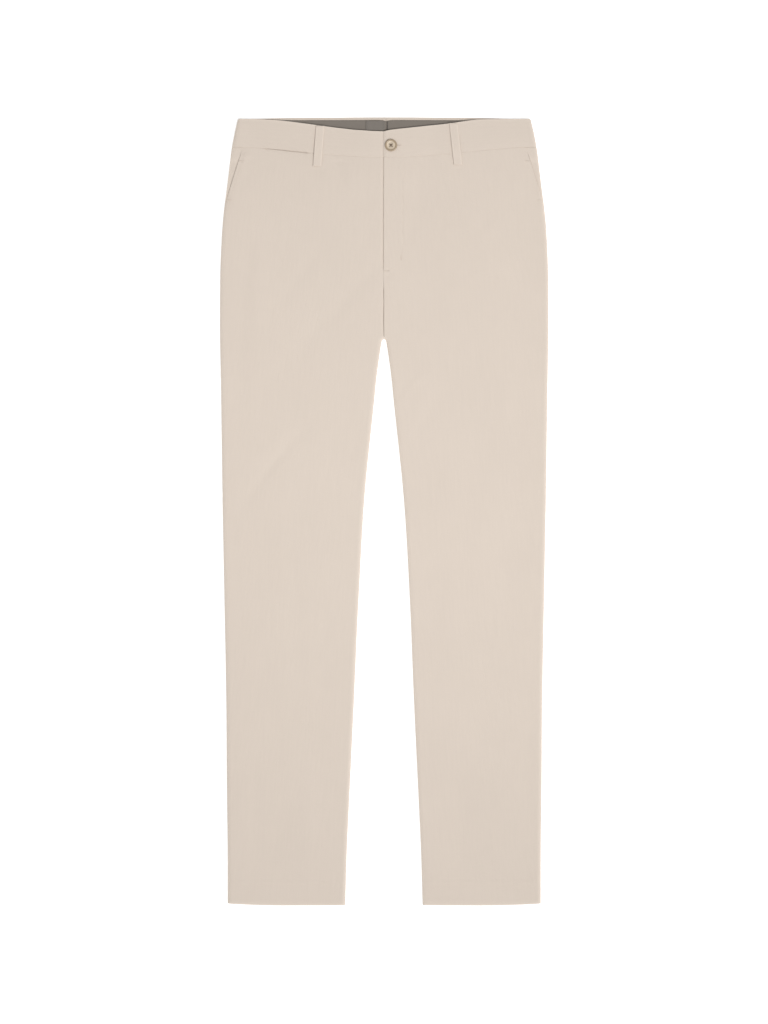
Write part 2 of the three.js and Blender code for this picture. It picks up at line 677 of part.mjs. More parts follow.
function button() {
  const r = BUTTON_DIAMETER / 2;
  const profile = [
    [0, 0], [r - 1.6, 0], [r - 0.3, 0.7], [r, 1.5], [r - 0.5, 2.4], [r - 1.3, BUTTON_THICKNESS],
    [r - 2.2, 2.5], [r - 2.9, 1.8], [0, 1.8],
  ].map(([radius, height]) => new THREE.Vector2(radius, height));
  let disc = solid(new THREE.LatheGeometry(profile, 32).rotateX(Math.PI / 2));
  for (const turn of [45, 135, 225, 315]) {
    const angle = (turn * Math.PI) / 180;
    const { radius, fromMiddle } = BUTTON_HOLE;
    const hole = new THREE.CylinderGeometry(radius, radius, 8, 10).rotateX(Math.PI / 2);
    hole.translate(fromMiddle * Math.cos(angle), fromMiddle * Math.sin(angle), 1);
    disc = disc.subtract(solid(hole));
  }
  const seat = LAID_HEIGHT + STACK_LIFT + SEAM_GAP;
  return shell(disc).translate(BUTTON_X, BUTTON_Y, seat);
}
add("button", button(), COLOURS.button, 0.45);

export default group;
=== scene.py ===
"""Corduroy trousers laid flat on their back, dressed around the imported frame.

Shapes are worked out in millimetres with y counted up from the hem. Meshes are in metres, in
the frame's own axes: +Z up, waist towards +Y, the wearer's right at -X.
"""
import math
from collections import namedtuple

import bpy
import numpy as np
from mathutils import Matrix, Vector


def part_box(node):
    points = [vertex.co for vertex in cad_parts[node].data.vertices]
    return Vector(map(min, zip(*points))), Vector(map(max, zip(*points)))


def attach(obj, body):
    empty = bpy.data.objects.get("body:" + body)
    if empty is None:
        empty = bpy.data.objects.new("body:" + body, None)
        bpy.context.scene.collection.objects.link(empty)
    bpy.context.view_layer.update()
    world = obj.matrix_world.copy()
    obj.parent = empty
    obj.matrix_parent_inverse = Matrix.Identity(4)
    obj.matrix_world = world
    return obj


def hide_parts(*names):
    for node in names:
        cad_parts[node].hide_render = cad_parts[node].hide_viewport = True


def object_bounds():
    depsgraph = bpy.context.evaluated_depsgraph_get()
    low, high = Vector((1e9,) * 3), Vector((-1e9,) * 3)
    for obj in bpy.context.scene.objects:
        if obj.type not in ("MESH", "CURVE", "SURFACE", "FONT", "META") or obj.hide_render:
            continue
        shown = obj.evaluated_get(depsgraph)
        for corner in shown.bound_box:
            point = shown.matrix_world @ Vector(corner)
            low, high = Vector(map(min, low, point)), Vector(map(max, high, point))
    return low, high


bl_info = {
    "name": "Corduroy trousers",
    "version": (1, 0, 0),
    "blender": (4, 5, 0),
    "location": "3D View > Sidebar > Trousers",
    "description": "Cuts, sews and lays out a pair of flat-front corduroy trousers",
    "category": "Object",
}

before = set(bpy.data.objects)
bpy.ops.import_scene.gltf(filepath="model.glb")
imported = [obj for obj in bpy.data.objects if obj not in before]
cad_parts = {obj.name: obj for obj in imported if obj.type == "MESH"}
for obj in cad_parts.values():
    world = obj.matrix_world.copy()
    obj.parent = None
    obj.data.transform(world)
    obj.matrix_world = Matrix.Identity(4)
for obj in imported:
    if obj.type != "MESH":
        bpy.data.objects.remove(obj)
CAD_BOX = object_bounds()
MM = 0.001
HEM_Y = CAD_BOX[0].y

# ---- Driving dimensions, in millimetres ----
BACK_RISE = 1.6            # the back waist's top edge rises this much in the middle
OUTSEAM = (CAD_BOX[1].y - CAD_BOX[0].y) / MM - BACK_RISE
LAID_HEIGHT = 5.8          # both layers of a leg, with the air between them
FOLD_HEIGHT = LAID_HEIGHT / 2
FOLD_REACH = 6.0           # how far in from an edge the fold rounds off
SEAM_GAP = 0.3             # space between neighbouring pieces
LEFT_OUTER_SHIFT = 0.9     # the left leg's outer edge is laid this much further left
RIGHT_INNER_SHIFT = 0.9    # and so is the middle of the right leg's inner edge
HEM_TURNING = 34.0         # depth of the turned-up hem
HEM_EXTRA = 0.6            # extra thickness where the hem is double
HEM_CORNER_RISE = 2.7      # outer corners of the hem sit this much higher
HEM_INSEAM_RISE = 0.4      # and the inner ones this much
CROTCH_Y = 808.8
CROTCH_RADIUS = 3.3        # half the width of the slot where the legs part
CROTCH_CENTRE = CROTCH_Y - CROTCH_RADIUS
BAND_SIDE_Y = 1083.5       # waistband seam at the sides and across the back
BAND_FRONT_DIP = 14.5      # how much lower the seam runs at centre front
BAND_HALF_WIDTH = 217.0
BAND_CORNER = 3.5          # rounding of the waistband's top corners
BAND_PROUD = 0.2           # the band's front stands this much above the panels
BAND_TUCK = 38.0           # button extension of the right half
PANEL_UNDERLAP = 2.5       # how far a front panel runs on under the band
PANEL_SINK = 1.35          # and how much lower it lies there
FRONT_SEAM_X = -0.6
FRONT_SEAM_BEND_Y = 822.0  # the front seam leans over to its place up to here
SEAM_VALLEY = 0.25         # depth of the broad hollow along the seam below the fly
SEAM_GROOVE = 1.15         # and of the narrow groove in it
SEAM_VALLEY_Y = 884.0      # where the hollow begins to fade out below the fly's end
BACK_SEAM_X = 3.0
BACK_SEAM_BEND_Y = 1000.0
FLY_END_Y = 906.0
FLY_TUCK = 8.0             # how far the right front reaches under the left
FLY_DIP = 1.55             # how much lower the tucked edge lies
FLY_DIP_REACH = 4.0
FLY_STITCH_X = 27.0
FLY_CURVE_Y = 945.0        # where the row of stitching starts to curve to the fly's end
FLY_CURVE_END_X = 3.0
FLY_CURVE_END_Y = 909.0
STACK_LIFT = 1.7           # layers over a back belt loop lie this much higher
SIDE_LOOP_X = 147.0        # middle of the outer two of the back loops
GRAIN_HEM_X = 139.0        # the straight grain of a leg panel at its hem
GRAIN_WAIST_X = 98.0       # and at the waist
LINING = 1.0               # wall of the lighter inside cloths
LINING_HEAD_Y = OUTSEAM - 2.5
LABEL = 0.75               # wall of the label
LABEL_CORNER = 1.6
LABEL_STITCH_INSET = 1.3
POCKET_FOOT_Y = 1005.0     # lower end of the slanted pocket mouth
POCKET_HEAD_Y = 1064.0     # the mouth is closed above this
POCKET_FOOT_INSET = 1.3    # from the side fold
POCKET_HEAD_INSET = 16.0   # where the mouth meets the waistband
POCKET_BOW = 1.15          # the mouth curves a little towards the fold
POCKET_UNDERLAP = 12.0
POCKET_STITCH_INSET = 6.0
TICKET_FROM = -171.0       # ends of the small pocket's mouth in the waist seam
TICKET_TO = -108.0
LOOP_HALF = 6.0
LOOP_THICKNESS = 1.4
ZIP_PITCH = 2.4            # distance from one tooth to the next on the same side
HOLE_RADIUS = 0.9
HOLE_CENTRE = 2.3
BUTTON_DISH = 1.6          # height of the dished middle above the button's underside
TACK_SPACING = 0.42
TACK_WIDTH = 0.4

Outline = namedtuple("Outline", "y outer inner")
Hip = namedtuple("Hip", "y outer")
Drop = namedtuple("Drop", "x drop")
Fold = namedtuple("Fold", "x y length width lean depth")
Dent = namedtuple("Dent", "x y across along depth")
Loop = namedtuple("Loop", "node lean back")
Box = namedtuple("Box", "left right foot head low high")
RingPoint = namedtuple("RingPoint", "radius height")

# Silhouette of one half: height above the hem, outer edge, inner edge of the leg.
LEG_OUTLINE = [
    Outline(0, 223.2, 55.3),
    Outline(78.4, 223.3, 53.0),
    Outline(149.9, 224.2, 49.7),
    Outline(292.8, 225.3, 42.9),
    Outline(435.6, 227.9, 37.1),
    Outline(578.5, 230.6, 28.6),
    Outline(721.4, 232.6, 13.9),
    Outline(757.1, 233.2, 10.3),
    Outline(792.8, 233.9, 5.4),
    Outline(805.5, 234.2, 3.3),
]
HIP_OUTLINE = [
    Hip(805.5, 234.2),
    Hip(864.2, 234.3),
    Hip(907.0, 233.8),
    Hip(935.6, 232.7),
    Hip(964.0, 231.2),
    Hip(992.8, 228.7),
    Hip(1021.4, 225.0),
    Hip(1050.0, 221.5),
    Hip(1078.5, 218.0),
    Hip(1107.0, 213.2),
    Hip(1124.5, 209.6),
]
# How far the front waist hangs below the back waist.
WAIST_DROP = [
    Drop(-210, 0), Drop(-174, 0.9), Drop(-148, 2.6), Drop(-116, 6.4), Drop(-84, 10.8),
    Drop(-57, 14.2), Drop(-37, 16.3), Drop(-1, 18.0), Drop(8, 16.2), Drop(35, 13.1),
    Drop(67, 9.6), Drop(92, 6.9), Drop(122, 2.6), Drop(138, 1.0), Drop(170, 0.4), Drop(210, 0),
]
# Broad folds of the laid cloth: centre, half length, half width, lean and depth.
SOFT_FOLDS = [
    Fold(-60, 860, 90, 16, 0.9, 0.5),
    Fold(62, 866, 95, 17, -0.9, 0.5),
    Fold(-118, 640, 150, 22, -0.12, 0.35),
    Fold(126, 600, 160, 24, 0.1, 0.35),
    Fold(-158, 250, 130, 20, -0.08, 0.4),
    Fold(150, 300, 140, 22, 0.08, 0.4),
    Fold(-26, 1000, 55, 14, -0.1, 0.45),
    Fold(158, 1010, 50, 18, -0.5, 0.35),
]
# Lesser creases of the front, uneven in length, depth and spacing. A negative depth stands up.
FRONT_CREASES = [
    Fold(-196, 905, 60, 9, 0.1, 0.48),
    Fold(-180, 880, 85, 11, 0.05, -0.35),
    Fold(-205, 770, 70, 10, 0.0, 0.4),
    Fold(-150, 640, 34, 8, 0.9, 0.53),
    Fold(-172, 612, 42, 9, 0.7, 0.44),
    Fold(-164, 655, 30, 7, 1.1, -0.31),
    Fold(-96, 560, 90, 15, -0.05, -0.4),
    Fold(-128, 430, 110, 13, -0.03, 0.44),
    Fold(-88, 330, 75, 12, 0.06, 0.35),
    Fold(-184, 140, 80, 10, -0.04, 0.44),
    Fold(-110, 120, 95, 14, 0.02, -0.44),
    Fold(24, 731, 14, 7, 0.8, 0.7),
    Fold(38, 742, 26, 8, 1.0, -0.44),
    Fold(62, 700, 44, 10, 0.6, 0.35),
    Fold(96, 452, 120, 14, 0.03, -0.44),
    Fold(178, 470, 130, 15, 0.02, 0.44),
    Fold(64, 478, 16, 8, 0.3, 0.44),
    Fold(192, 700, 120, 12, 0.0, 0.44),
    Fold(204, 250, 90, 11, 0.0, 0.35),
    Fold(110, 110, 80, 13, -0.04, 0.48),
    Fold(84, 915, 50, 12, -0.7, -0.44),
    Fold(118, 890, 62, 12, -0.8, 0.4),
    Fold(-118, 905, 54, 12, 0.7, 0.4),
    Fold(-64, 1048, 22, 10, -0.3, 0.55),
    Fold(139, 972, 15, 9, 0.4, 0.53),
    Fold(-197, 1044, 26, 7, 0.3, 0.44),
    Fold(52, 1022, 40, 11, 0.1, 0.4),
]
BACK_CREASES = [
    Fold(-70, 840, 110, 18, 0.7, 0.5),
    Fold(84, 832, 100, 17, -0.8, 0.5),
    Fold(-140, 520, 170, 22, 0.05, 0.4),
    Fold(138, 410, 150, 20, -0.04, 0.4),
    Fold(-120, 170, 120, 18, 0.06, 0.35),
    Fold(160, 150, 95, 15, 0.05, 0.35),
    Fold(-178, 760, 90, 14, 0.1, 0.3),
    Fold(170, 700, 110, 15, -0.08, 0.35),
    Fold(20, 960, 60, 15, 0.2, 0.35),
    Fold(-110, 985, 55, 14, 0.3, 0.3),
]
# Small dents beside tacks and under the band.
DENTS = [
    Dent(-64.6, 1062, 6, 3, 0.5),
    Dent(-64.6, 1066.5, 6, 2.5, -0.35),
    Dent(-197, 1070, 5, 4, -0.4),
    Dent(-192, 1065, 6, 4, 0.25),
    Dent(24.7, 926.5, 3, 5, 0.3),
    Dent(-96, 1051, 9, 4, 0.45),
    Dent(106, 1053, 9, 4, 0.45),
    Dent(4, 901, 7, 5, 0.4),
    Dent(-224, 1000, 6, 5, 0.3),
    Dent(-216, 1068, 4, 4, 0.3),
]
# Belt loops: the node, how far the top leans over and whether it lies under the back.
LOOPS = [
    Loop("loop_front_right", 4.4, False),
    Loop("loop_front_left", -6.6, False),
    Loop("loop_back_right", 2.0, True),
    Loop("loop_back_left", -2.0, True),
    Loop("loop_back_centre", 0.0, True),
]


def node_box(node):
    """Where a node of the frame lies, in millimetres above the hem."""
    low, high = (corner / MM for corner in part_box(node))
    return Box(low.x, high.x, low.y - HEM_Y / MM, high.y - HEM_Y / MM, low.z, high.z)


BUTTON = node_box("button")
BUTTON_X = (BUTTON.left + BUTTON.right) / 2
BUTTON_Y = (BUTTON.foot + BUTTON.head) / 2
BUTTON_RADIUS = (BUTTON.right - BUTTON.left) / 2


# ---- Plain maths on arrays ----
def smooth(start, end, value):
    t = np.clip((value - start) / (end - start), 0.0, 1.0)
    return t * t * (3.0 - 2.0 * t)


def mix(a, b, t):
    return a + (b - a) * t


def near(offset, flat, reach):
    """1 within the flat distance, fading to 0 at the reach."""
    return 1.0 - smooth(flat, reach, np.abs(offset))


def bell(offset, width):
    return np.exp(-((offset / width) ** 2))


def eased(count):
    """Numbers from 0 to 1, closest together at both ends."""
    return 0.5 - 0.5 * np.cos(np.linspace(0, math.pi, count))


def quarter_round(distance, reach):
    """0 on an edge and 1 where the cloth lies flat again."""
    inward = 1.0 - np.clip(distance, 0.0, reach) / reach
    return np.sqrt(1.0 - inward**2)


def stops(*runs):
    """Rising numbers from runs of (first, last, step); the very last number is kept."""
    numbers = [np.arange(first, last - step * 0.25, step) for first, last, step in runs]
    return np.append(np.concatenate(numbers), runs[-1][1])


def curve(rows):
    """Smooth curve through (key, value) rows, without overshoot between them."""
    keys, values = np.array(rows, float).T
    here = np.arange(len(keys))
    before = np.maximum(here - 1, 0)
    after = np.minimum(here + 1, len(keys) - 1)
    slopes = (values[after] - values[before]) / (keys[after] - keys[before])

    def at(key):
        i = np.clip(np.searchsorted(keys, key, side="right") - 1, 0, len(keys) - 2)
        span = keys[i + 1] - keys[i]
        t = np.clip((key - keys[i]) / span, 0.0, 1.0)
        s = 1.0 - t
        ends = values[i] * (1 + 2 * t) * s * s + values[i + 1] * (3 - 2 * t) * t * t
        return ends + (slopes[i] * s - slopes[i + 1] * t) * span * t * s

    return at


def ripple(along, *wavelengths):
    """Uneven wave between -1 and 1, the same on every run."""
    waves = [np.sin(2 * np.pi * along / length + length) for length in wavelengths]
    return sum(waves) / len(waves)


# ---- Silhouette ----
leg_outer = curve([(row.y, row.outer) for row in LEG_OUTLINE])
leg_inner = curve([(row.y, row.inner) for row in LEG_OUTLINE])
hip_outer = curve(HIP_OUTLINE)
waist_drop = curve(WAIST_DROP)


def outer_at(y):
    return np.where(y < CROTCH_CENTRE, leg_outer(y), hip_outer(y))


def inner_at(y):
    rise = np.clip(y - CROTCH_CENTRE, 0.0, CROTCH_RADIUS)
    return np.where(y < CROTCH_CENTRE, leg_inner(y), np.sqrt(CROTCH_RADIUS**2 - rise**2))


def edge_distance(x, y):
    """How far a point lies from the nearest folded edge."""
    from_crotch = np.hypot(x, y - CROTCH_CENTRE) - CROTCH_RADIUS
    inside = np.where(y < CROTCH_CENTRE, np.abs(x) - inner_at(y), from_crotch)
    return np.maximum(0.0, np.minimum(outer_at(y) - np.abs(x), inside))


def front_seam_x(y):
    return FRONT_SEAM_X * smooth(CROTCH_Y, FRONT_SEAM_BEND_Y, y)


def back_seam_x(y):
    return BACK_SEAM_X * smooth(CROTCH_Y, BACK_SEAM_BEND_Y, y)


def band_seam_y(x):
    out = np.minimum(1.0, np.abs(x) / BAND_HALF_WIDTH)
    return BAND_SIDE_Y - BAND_FRONT_DIP * (1 - out**2) ** 2


def hem_y(x):
    across = (np.abs(x) - inner_at(0.0)) / (outer_at(0.0) - inner_at(0.0))
    rise = np.where(across > 0.5, HEM_CORNER_RISE, HEM_INSEAM_RISE)
    return rise * (2 * across - 1) ** 2


def corner_drop(x):
    inward = np.minimum(BAND_CORNER, outer_at(OUTSEAM) - np.abs(x))
    return BAND_CORNER - np.sqrt(np.maximum(0.0, BAND_CORNER**2 - (BAND_CORNER - inward) ** 2))


def back_top_y(x):
    return OUTSEAM + BACK_RISE * near(x, 90, 200) - corner_drop(x)


def front_top_y(x):
    return OUTSEAM - np.maximum(waist_drop(x), corner_drop(x))


def pocket_inset(y):
    up = np.maximum(0.0, y - POCKET_FOOT_Y) / (BAND_SIDE_Y - POCKET_FOOT_Y)
    return mix(POCKET_FOOT_INSET, POCKET_HEAD_INSET, up**POCKET_BOW)


# ---- Heights of the laid layers ----
def centre_lift(x, y):
    """The layers lie over the back belt loop at the centre."""
    return STACK_LIFT * near(x - BACK_SEAM_X, 20, 75) * smooth(1005, 1055, y)


def loop_lift(x, y):
    """The back lies over all three of its belt loops."""
    sides = near(np.abs(x) - SIDE_LOOP_X, 9, 34)
    return centre_lift(x, y) + STACK_LIFT * sides * smooth(1030, 1062, y)


def fold_depth(folds, x, y):
    depth = 0.0
    for fold in folds:
        along = (y - fold.y) / fold.length
        across = (x - fold.x - fold.lean * (y - fold.y)) / fold.width
        depth = depth + fold.depth * np.exp(-(along**2) - across**2)
    return depth


def seam_valley(x, y):
    along = smooth(CROTCH_Y, 830, y) * (1 - smooth(SEAM_VALLEY_Y, FLY_END_Y, y))
    return SEAM_VALLEY * along * bell(x - FRONT_SEAM_X, 6.0)


def front_height(x, y):
    creases = fold_depth(SOFT_FOLDS, x, y) + fold_depth(FRONT_CREASES, x, y)
    flat = LAID_HEIGHT - FOLD_HEIGHT - creases - seam_valley(x, y) + centre_lift(x, y)
    return FOLD_HEIGHT + flat * quarter_round(edge_distance(x, y), FOLD_REACH)


def right_height(x, y):
    """The right side passes below the left one at the fly, deepest just at its edge."""
    dip = FLY_DIP * smooth(FRONT_SEAM_X - FLY_DIP_REACH, FRONT_SEAM_X - 0.2, x)
    return front_height(x, y) - dip * smooth(FLY_END_Y, FLY_END_Y + 7, y)


def back_height(x, y):
    """The underside lies on the surface; its creases lift it a little."""
    arch = 0.5 * fold_depth(BACK_CREASES, x, y) + loop_lift(x, y)
    return FOLD_HEIGHT - (FOLD_HEIGHT - arch) * quarter_round(edge_distance(x, y), FOLD_REACH)


# ---- Fine relief of the front ----
def fly_stitch_distance(x, y):
    """Distance from the row of stitching that follows the fly and curves in to its end."""
    across, down = x - FLY_CURVE_END_X, FLY_CURVE_Y - y
    reach_x = FLY_STITCH_X - FLY_CURVE_END_X
    reach_y = FLY_CURVE_Y - FLY_CURVE_END_Y
    from_curve = np.abs(np.hypot(across / reach_x, down / reach_y) - 1.0)
    curved = from_curve * 0.5 * (reach_x + reach_y)
    far = 9.0
    return np.where(down < 0, np.abs(x - FLY_STITCH_X), np.where(across > 0, curved, far))


def seam_groove(x, y):
    """Where the two fronts are joined below the fly."""
    along = smooth(CROTCH_Y, CROTCH_Y + 5, y) * (1 - smooth(FLY_END_Y - 38, FLY_END_Y - 6, y))
    return SEAM_GROOVE * along * bell(x - front_seam_x(y) + 0.3, 0.75)


def panel_relief(x, y):
    below_band = band_seam_y(x) - y
    puckers = 0.1 * ripple(x, 23.0, 13.7, 8.9) * np.exp(-np.maximum(0.0, below_band) / 10)
    side = outer_at(y) - np.abs(x)
    puckers = puckers + 0.09 * ripple(y, 31.0, 17.3, 47.0) * bell(side - 9, 7)
    dents = 0.0
    for dent in DENTS:
        dents = dents + dent.depth * bell(x - dent.x, dent.across) * bell(y - dent.y, dent.along)
    turning = 0.22 * bell(y - HEM_TURNING, 2.2) + 0.12 * smooth(HEM_TURNING + 2, HEM_TURNING - 2, y)
    return puckers - dents + turning - seam_groove(x, y)


def left_relief(x, y):
    stitched = y < band_seam_y(x)
    groove = 0.12 * bell(fly_stitch_distance(x, y), 0.9) * stitched
    edge = x - front_seam_x(y)
    open_fly = smooth(FLY_END_Y - 4, FLY_END_Y + 2, y)
    gape = smooth(1010, 1050, y)
    lip = (0.45 + 0.4 * gape) * (1 - quarter_round(edge, 1.0 + 0.7 * gape)) * open_fly
    tack = 0.3 * bell(y - FLY_END_Y - 0.7, 1.6) * (1 - smooth(5, 9, x))
    return panel_relief(x, y) - groove - lip - tack


# ---- Walls ----
RIM_STEPS = 3


def grid_normals(points):
    """Unit normals of a grid of points."""
    down = np.gradient(points, axis=0)
    across = np.gradient(points, axis=1)
    normals = np.cross(across, down)
    return normals / np.maximum(np.linalg.norm(normals, axis=2, keepdims=True), 1e-9)


def ring_of(rows, columns):
    """Grid places round the edge, with the two outward directions of each."""
    ring = []
    ring += [(0, c, -1, (c == columns - 1) - (c == 0)) for c in range(columns)]
    ring += [(r, columns - 1, (r == rows - 1) * 1, 1) for r in range(1, rows)]
    ring += [(rows - 1, c, 1, -(c == 0)) for c in range(columns - 2, -1, -1)]
    ring += [(r, 0, 0, -1) for r in range(rows - 2, 0, -1)]
    return np.array(ring)


def closed_wall(outer, inner, rims):
    """Points and faces between two grids. rims gives how far the edge bulges beyond the
    first row, last row, first column and last column."""
    rows, columns = outer.shape[:2]
    count = rows * columns
    number = np.arange(count).reshape(rows, columns)
    a, b, c, d = number[:-1, :-1], number[:-1, 1:], number[1:, 1:], number[1:, :-1]
    face = np.stack([a, b, c, d], axis=-1).reshape(-1, 4)
    faces = [face, face[:, ::-1] + count]
    ring = ring_of(rows, columns)
    r, c, turn_r, turn_c = ring.T
    step_r = outer[r, c] - outer[np.clip(r - turn_r, 0, rows - 1), c]
    step_c = outer[r, c] - outer[r, np.clip(c - turn_c, 0, columns - 1)]
    bulge_r = np.where(turn_r < 0, rims[0], rims[1]) * np.abs(turn_r)
    bulge_c = np.where(turn_c < 0, rims[2], rims[3]) * np.abs(turn_c)
    outward = 0.0
    for step, bulge in ((step_r, bulge_r), (step_c, bulge_c)):
        length = np.maximum(np.linalg.norm(step, axis=1, keepdims=True), 1e-9)
        outward = outward + step / length * bulge[:, None]
    middle = (outer[r, c] + inner[r, c]) / 2
    half = (outer[r, c] - inner[r, c]) / 2
    layers = [number[r, c]]
    points = [outer.reshape(-1, 3), inner.reshape(-1, 3)]
    for k in range(1, RIM_STEPS + 1):
        angle = math.pi * k / (RIM_STEPS + 1)
        points.append(middle + half * math.cos(angle) + outward * math.sin(angle))
        layers.append(2 * count + (k - 1) * len(ring) + np.arange(len(ring)))
    layers.append(number[r, c] + count)
    for above, below in zip(layers, layers[1:]):
        strip = [above, below, np.roll(below, -1), np.roll(above, -1)]
        faces.append(np.stack(strip, axis=-1))
    return np.concatenate(points), np.concatenate(faces), ring


def spread_on_wall(values, ring, inner_value=None):
    """A value for each point of a closed wall, from the values on its grid."""
    flat = values.reshape(-1)
    inside = flat if inner_value is None else np.full_like(flat, inner_value)
    rim = np.tile(values[ring[:, 0], ring[:, 1]], RIM_STEPS)
    return np.concatenate([flat, inside, rim])


def facing_out(points, faces):
    """The faces turned so that the closed shape they make has a positive volume."""
    a, b, c, d = (points[faces[:, k]] for k in range(4))
    volume = (a * np.cross(b, c)).sum() + (a * np.cross(c, d)).sum()
    return faces[:, ::-1] if volume < 0 else faces


def laid(points):
    """The frame's metres from millimetres above the hem. The legs aren't laid quite evenly:
    the left one's outer edge and the middle of the right one's inner edge lie further left."""
    x, y, z = points.T
    inward = np.where(x < 0, smooth(-160, -70, x) * bell(y - 480, 120), 0.0)
    shift = LEFT_OUTER_SHIFT * smooth(158, 215, x) + RIGHT_INNER_SHIFT * inward
    return np.column_stack([(x + shift) * MM, y * MM + HEM_Y, z * MM])


def mesh_from(name, points, faces, sharp=55.0):
    """A mesh in metres from points in millimetres above the hem."""
    placed = laid(points)
    mesh = bpy.data.meshes.new(name)
    mesh.vertices.add(len(placed))
    mesh.vertices.foreach_set("co", placed.astype(np.float32).ravel())
    mesh.loops.add(faces.size)
    mesh.loops.foreach_set("vertex_index", faces.astype(np.int32).ravel())
    mesh.polygons.add(len(faces))
    starts = np.arange(0, faces.size, faces.shape[1], dtype=np.int32)
    mesh.polygons.foreach_set("loop_start", starts)
    mesh.update(calc_edges=True)
    mesh.shade_smooth()
    mesh.set_sharp_from_angle(angle=math.radians(sharp))
    return mesh


def add_piece(mesh, material, slot, *nodes):
    """An object for the mesh that rides on the trousers and stands for the named nodes."""
    piece = bpy.data.objects.new(mesh.name, mesh)
    bpy.context.scene.collection.objects.link(piece)
    mesh.materials.clear()
    mesh.materials.append(material)
    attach(piece, "root")
    if nodes:
        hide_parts(*nodes)
    return piece


def arc_lengths(points, axis):
    steps = np.linalg.norm(np.diff(points, axis=axis), axis=2)
    start = np.zeros_like(np.take(steps, [0], axis=axis))
    return np.concatenate([start, np.cumsum(steps, axis=axis)], axis=axis)


def cell_area(points):
    a = points[1:, 1:] - points[:-1, :-1]
    b = points[1:, :-1] - points[:-1, 1:]
    return np.linalg.norm(np.cross(a, b), axis=2).sum() / 2


def cloth_piece(name, outer, inner, rims, finish, slot, nodes,
                wales="up", wear=None, grain_line=None):
    """A wall of cloth with its grain, nap and wear."""
    points, faces, ring = closed_wall(outer, inner, rims)
    mesh = mesh_from(name, points, facing_out(points, faces))
    width = arc_lengths(outer, 1)
    length = arc_lengths(outer, 0)
    across, along = width, length
    if grain_line is not None:
        for row in range(len(width)):
            middle = np.interp(grain_line[row], *sorted_pair(outer[row, :, 0], width[row]))
            across[row] = width[row] - middle
        along = outer[:, :, 1]
    if wales == "round":
        across, along = length - length.max() / 2, width
    set_grain(mesh, spread_on_wall(across, ring), spread_on_wall(along, ring))
    nap = np.ones(outer.shape[:2])
    set_values(mesh, "nap", spread_on_wall(nap, ring, 0.0))
    worn = np.zeros(outer.shape[:2]) if wear is None else wear
    set_values(mesh, "wear", spread_on_wall(worn, ring))
    piece = add_piece(mesh, finish, slot, *nodes)
    flat = (arc_lengths(outer, 1).max() * MM, arc_lengths(outer, 0).max() * MM)
    area = min(cell_area(outer) * MM * MM, flat[0] * flat[1])
    return piece


def sorted_pair(keys, values):
    order = np.argsort(keys)
    return keys[order], values[order]


def set_values(mesh, name, values):
    attribute = mesh.attributes.new(name, "FLOAT", "POINT")
    attribute.data.foreach_set("value", values.astype(np.float32))


def set_grain(mesh, across, along):
    corners = np.empty(len(mesh.loops), np.int32)
    mesh.loops.foreach_get("vertex_index", corners)
    layer = mesh.uv_layers.new(name="grain")
    grain = np.stack([across[corners], along[corners]], axis=-1) * MM
    layer.data.foreach_set("uv", grain.astype(np.float32).ravel())


# ---- Materials ----
class Value:
    """One changing number of a material, so that its maths reads as plain expressions."""

    def __init__(self, finish, socket):
        self.finish = finish
        self.socket = socket

    def __add__(self, other):
        return self.finish.maths("ADD", self, other)

    def __sub__(self, other):
        return self.finish.maths("SUBTRACT", self, other)

    def __rsub__(self, other):
        return self.finish.maths("SUBTRACT", other, self)

    def __mul__(self, other):
        return self.finish.maths("MULTIPLY", self, other)

    def __pow__(self, other):
        return self.finish.maths("POWER", self, other)

    def __abs__(self):
        return self.finish.maths("ABSOLUTE", self)

    def sin(self):
        return self.finish.maths("SINE", self)

    def clamped(self):
        return self.finish.maths("MAXIMUM", self.finish.maths("MINIMUM", self, 1.0), 0.0)

    __radd__ = __add__
    __rmul__ = __mul__


